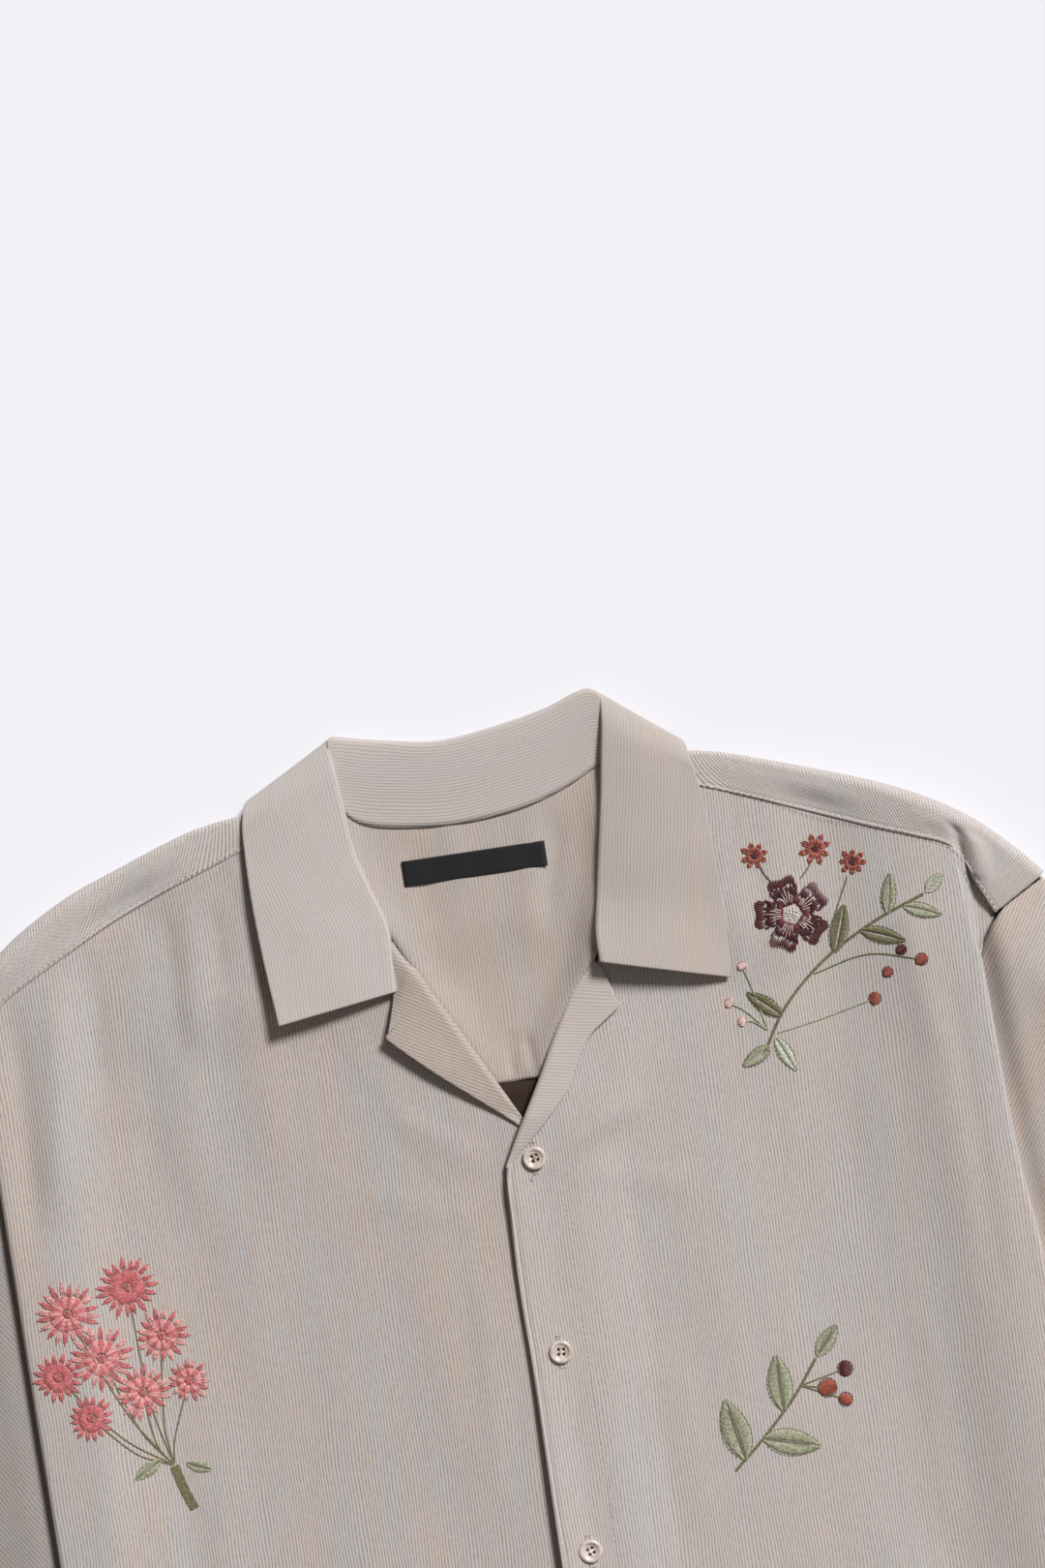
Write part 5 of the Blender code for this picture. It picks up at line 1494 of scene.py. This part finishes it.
class Graph:
    """Builds the shader nodes of one material."""

    def __init__(self, name):
        self.material = bpy.data.materials.new(name)
        self.material.use_nodes = True
        self.tree = self.material.node_tree
        self.shader = self.tree.nodes["Principled BSDF"]

    def plug(self, value, socket):
        """Links a value to a socket, or sets it there where it is the same all over."""
        if isinstance(value, Number):
            value = value.socket
        if isinstance(value, bpy.types.NodeSocket):
            self.tree.links.new(value, socket)
        else:
            socket.default_value = value

    def node(self, kind, inputs=(), **settings):
        made = self.tree.nodes.new(kind)
        for key, value in settings.items():
            setattr(made, key, value)
        for key, value in dict(inputs).items():
            self.plug(value, made.inputs[key])
        return made

    def number(self, kind, inputs=(), **settings):
        return Number(self, self.node(kind, inputs, **settings).outputs[0])

    def math(self, operation, *values):
        return self.number("ShaderNodeMath", dict(enumerate(values)), operation=operation)

    def cloth(self):
        """The cloth coordinates, in millimetres."""
        uv = self.node("ShaderNodeUVMap", uv_map="cloth").outputs[0]
        split = self.node("ShaderNodeSeparateXYZ", {0: uv})
        return [Number(self, split.outputs[k]) * 1000.0 for k in range(2)]

    def noise(self, x, y, detail=2.0):
        vector = self.node("ShaderNodeCombineXYZ", {0: x, 1: y}).outputs[0]
        inputs = {"Vector": vector, "Scale": 1.0, "Detail": detail, "Roughness": 0.55}
        return self.number("ShaderNodeTexNoise", inputs, noise_dimensions="2D")

    def clouds(self, **values):
        """Soft noise through the object's own space."""
        place = self.node("ShaderNodeTexCoord").outputs["Object"]
        return self.number("ShaderNodeTexNoise", {"Vector": place, **values})

    def ramp(self, value, low, high, first=0.0, last=1.0):
        inputs = {0: value, 1: low, 2: high, 3: first, 4: last}
        return self.number("ShaderNodeMapRange", inputs, interpolation_type="SMOOTHSTEP")

    def blend(self, factor, first, last):
        return self.node("ShaderNodeMix", {0: factor, 6: first, 7: last}, data_type="RGBA").outputs[2]

    def bump(self, height, distance, strength):
        inputs = {"Height": height, "Distance": distance, "Strength": strength}
        self.plug(self.node("ShaderNodeBump", inputs).outputs[0], self.shader.inputs["Normal"])

    def finish(self, colour, **values):
        """Sets the shader's colour and its other sockets."""
        self.plug(colour, self.shader.inputs["Base Color"])
        for key, value in values.items():
            self.plug(value, self.shader.inputs[key.replace("_", " ")])
        return self.material


def ribbed_cloth(name, colour, band, rib, gap):
    """Finely ribbed cloth: the ribs run along v, with broken dark gaps, fine cross threads and soft bands."""
    g = Graph(name)
    u, v = g.cloth()
    wander = g.noise(u * 0.03, v * 0.012)
    phase = (u + (wander - 0.5) * 5.0) / RIB_PITCH
    index = g.math("FLOOR", phase)
    crest = (1.0 - g.math("COSINE", (phase - index) * (2 * math.pi))) * 0.5
    valley = (1.0 - crest) ** 1.6
    gap_index = g.math("FLOOR", phase + 0.5)
    lean = g.math("MODULO", g.math("ABSOLUTE", gap_index), 2.0) * math.pi
    pull = g.noise(gap_index * 0.7, v * 0.08, 1.0)
    beat = v * (2 * math.pi / CROSS_PITCH) + pull * 3.0
    bead = (g.math("SINE", beat + lean) + 1.0) * 0.5
    dash = g.ramp(g.noise(gap_index * 3.73, v * 0.34, 1.0), 0.36, 0.64, 0.7, 1.0)
    dark = valley * dash * (bead * 0.6 + 0.4)
    over = (bead - 0.5) * crest
    grain = g.noise(u * 1.1, v * 1.0, 3.0)
    slub = g.noise(index * 5.17, v * 0.02, 1.0)
    light = 1.0 - dark * gap
    light = light + over * 0.10 + (grain - 0.5) * 0.16 + (slub - 0.5) * 0.05
    tone = g.noise(u * 0.05, v * 0.008, 3.0) * 0.55 + g.noise(u * 0.55, v * 0.3) * 0.45
    warm = tint(colour, (1 + 0.10 * band, 1 - 0.02 * band, 1 - 0.13 * band))
    cool = tint(colour, (1 - 0.07 * band, 1 + 0.01 * band, 1 + 0.09 * band))
    shade = g.node("ShaderNodeCombineXYZ", {0: light, 1: light, 2: light}).outputs[0]
    inputs = {0: g.blend(g.ramp(tone, 0.4, 0.6), cool, warm), 1: shade}
    base = g.node("ShaderNodeVectorMath", inputs, operation="MULTIPLY").outputs[0]
    g.bump(crest * (0.10 * rib) + dark * -0.10 + over * 0.04 + grain * 0.05, 0.001, 0.55)
    return g.finish(base, Roughness=0.82, Sheen_Weight=0.22, Sheen_Roughness=0.45, Specular_IOR_Level=0.22)


def label_satin():
    g = Graph("label_satin")
    u, v = g.cloth()
    line = g.math("SINE", (u + v * 0.6) * (2 * math.pi / 0.8))
    mixed = line * 0.25 + g.noise(u * 1.2, v * 3.0)
    black = (15, 15, 19)
    colour = g.blend(g.ramp(mixed, 0.1, 0.9), tint(black, 0.7), tint(black, (1.35, 1.35, 1.4)))
    g.bump(mixed, 0.00006, 0.5)
    return g.finish(colour, Roughness=0.5, Sheen_Weight=0.1, Specular_IOR_Level=0.4)


def button_pearl():
    g = Graph("button_pearl")
    cloud = g.ramp(g.clouds(Scale=260.0, Detail=4.0, Distortion=1.2), 0.35, 0.65)
    pearl = (206, 193, 184)
    colour = g.blend(cloud, tint(pearl, (0.86, 0.83, 0.8)), tint(pearl, (1.12, 1.12, 1.14)))
    skin = {"Subsurface_Weight": 0.08, "Subsurface_Scale": 0.002}
    return g.finish(colour, Roughness=0.32, Coat_Weight=0.35, Coat_Roughness=0.2, **skin)


def thread(name, colour, sheen=0.35):
    g = Graph(name)
    tone = g.ramp(g.clouds(Scale=900.0, Detail=2.0), 0.35, 0.65)
    shaded = g.blend(tone, tint(colour, 0.72), tint(colour, 1.3))
    return g.finish(shaded, Roughness=0.5, Sheen_Weight=sheen, Sheen_Roughness=0.4, Specular_IOR_Level=0.35)


def floor_material():
    g = Graph("pale_floor")
    tone = g.ramp(g.clouds(Scale=1.5, Detail=2.0), 0.3, 0.7)
    colour = g.blend(tone, (0.599, 0.602, 0.634, 1), (0.605, 0.608, 0.640, 1))
    glow = {"Emission_Color": (0.978, 0.966, 1.0, 1), "Emission_Strength": 0.275}
    return g.finish(colour, Roughness=0.95, Specular_IOR_Level=0.0, **glow)


# The scene

# The cloths: colour, how far the bands part, the ribs' height and how dark the gaps between them are.
CLOTHS = {
    "front_left": ((196, 188, 184), 0.3, 1.0, 0.6),
    "front_right": ((191, 183, 179), 0.5, 1.0, 0.62),
    "inside": ((187, 176, 169), 0.3, 0.9, 0.4),
    # Painted sheen: a lighter copy of the cloth for the yoke's strips folded over the shoulders.
    "yoke_front": ((202, 194, 190), 0.3, 1.4, 0.65),
    # Painted shade: a dark brown copy of the cloth for the back's upper faces, seen at the foot of the neck
    # opening.
    "back_inside": ((54, 39, 33), 0.2, 0.9, 0.4),
    "collar": ((193, 185, 181), 0.25, 0.8, 0.26),
    # Painted shade: a darker copy of the collar cloth for the fall on the wearer's left.
    "collar_left": ((184, 174, 168), 0.25, 0.8, 0.26),
    # Painted shade: a darker copy of the lapel cloth for the wearer's right lapel, which slopes away from the
    # light.
    "lapel_right": ((184, 171, 162), 0.2, 0.9, 0.4),
    "lapel": ((193, 184, 179), 0.2, 0.6, 0.2),
    "sleeve_left": ((198, 186, 179), 0.3, 1.0, 0.5),
    # Painted shade: the wearer's right sleeve and cuff take a much darker copy of the cloth, as that sleeve
    # lies in shade beside the body.
    "sleeve_right": ((158, 151, 148), 0.3, 1.0, 0.5),
}

# The nodes of the collar, the facings and the cuffs.
COLLAR_NODES = ("collar", "facing_left", "facing_right", "cuff_left", "cuff_right")


def finish_piece(piece, slot_name, *nodes):
    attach(piece, "root")
    if nodes:
        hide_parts(*nodes)
    return piece


def dress():
    """Makes every piece, with what it rides and the parts it replaces."""
    cloth = {key: ribbed_cloth("ribbed_" + key, *row) for key, row in CLOTHS.items()}
    satin, resin = label_satin(), button_pearl()
    # The dark brown material for the buttons' hole walls is painted shade.
    sewing, dark = thread("sewing_thread", (186, 176, 168), 0.2), thread("hole_thread", (52, 36, 30), 0.0)
    threads = [thread(f"thread_{k}", colour) for k, colour in enumerate(THREAD_COLOURS)]
    pieces = {
        "back": back_piece(cloth["inside"], cloth["back_inside"]),
        "yoke": yoke_piece(cloth["inside"], cloth["yoke_front"]),
        "front_left": front_piece(LEFT, cloth["front_left"]),
        "front_right": front_piece(RIGHT, cloth["front_right"]),
        "facing_left": lapel_piece(LEFT, cloth["lapel"], math.radians(80)),
        # The wearer's right lapel gets the darker lapel cloth: painted shade.
        "facing_right": lapel_piece(RIGHT, cloth["lapel_right"], math.radians(62)),
        "collar": collar_piece(cloth["collar"], cloth["collar_left"]),
        "sleeve_left": sleeve_piece(LEFT, cloth["sleeve_left"], math.radians(-32)),
        # The wearer's right sleeve and cuff get the darker sleeve cloth: painted shade.
        "sleeve_right": sleeve_piece(RIGHT, cloth["sleeve_right"], math.radians(32)),
        "cuff_left": cuff_piece(LEFT, cloth["sleeve_left"], math.radians(58)),
        "cuff_right": cuff_piece(RIGHT, cloth["sleeve_right"], math.radians(-58)),
    }
    for node, piece in pieces.items():
        finish_piece(piece, "collar_cloth" if node in COLLAR_NODES else "shirt_cloth", node)
    buttons = [(f"button_{i + 1}", *button_place(i), turn) for i, turn in enumerate(BUTTON_TURNS)]
    for side in (LEFT, RIGHT):
        place = cuff_point(side, 20.0, CUFF_LENGTH / 2)
        buttons.append(("cuff_button_" + side.name, *place, CUFF_BUTTON_TURN))
    for node, x, y, turn in buttons:
        finish_piece(button_piece(node, x, y, turn, resin, dark), "button_resin", node)
    pieces["label"] = finish_piece(label_piece(satin), "label_weave", "label")
    for make in (shoulder_spray, chest_bouquet, chest_sprig):
        finish_piece(make(threads), "shirt_cloth")
    finish_piece(sewing_piece(sewing), "shirt_cloth")


def add_sun(name, strength, spread, height, turn):
    """A soft distant light, at a height over the horizon and a turn about the upright."""
    light = bpy.data.lights.new(name, "SUN")
    light.energy, light.angle = strength, math.radians(spread)
    obj = bpy.data.objects.new(name, light)
    obj.rotation_euler = (0, math.radians(90 - height), math.radians(turn))
    bpy.context.scene.collection.objects.link(obj)


def light_and_camera():
    """The floor, the studio light and the camera at the photo's angle."""
    bpy.ops.mesh.primitive_plane_add(size=FLOOR_SIZE, location=(0, 0, -FLOOR_DROP))
    floor = bpy.context.object
    floor.name = "floor"
    floor.data.materials.append(floor_material())
    scene = bpy.context.scene
    scene.view_settings.view_transform = "Standard"
    world = bpy.data.worlds.new("studio")
    scene.world = world
    world.use_nodes = True
    background = world.node_tree.nodes["Background"]
    background.inputs[0].default_value, background.inputs[1].default_value = WORLD_COLOUR, WORLD_STRENGTH
    add_sun("key", KEY_STRENGTH, KEY_SPREAD, KEY_HEIGHT, KEY_TURN)
    add_sun("fill", FILL_STRENGTH, FILL_SPREAD, FILL_HEIGHT, FILL_TURN)
    lens = bpy.data.cameras.new("camera")
    lens.lens, lens.sensor_width, lens.clip_start, lens.clip_end = LENS, SENSOR, 0.1, 10
    camera = bpy.data.objects.new("camera", lens)
    middle = (np.array(CAMERA_AIM) + SHIFT) * MM
    camera.location = (middle[0], middle[1], CAMERA_Z)
    camera.rotation_euler = (0, 0, math.radians(CAMERA_ROLL))
    scene.collection.objects.link(camera)
    scene.camera = camera


dress()
light_and_camera()
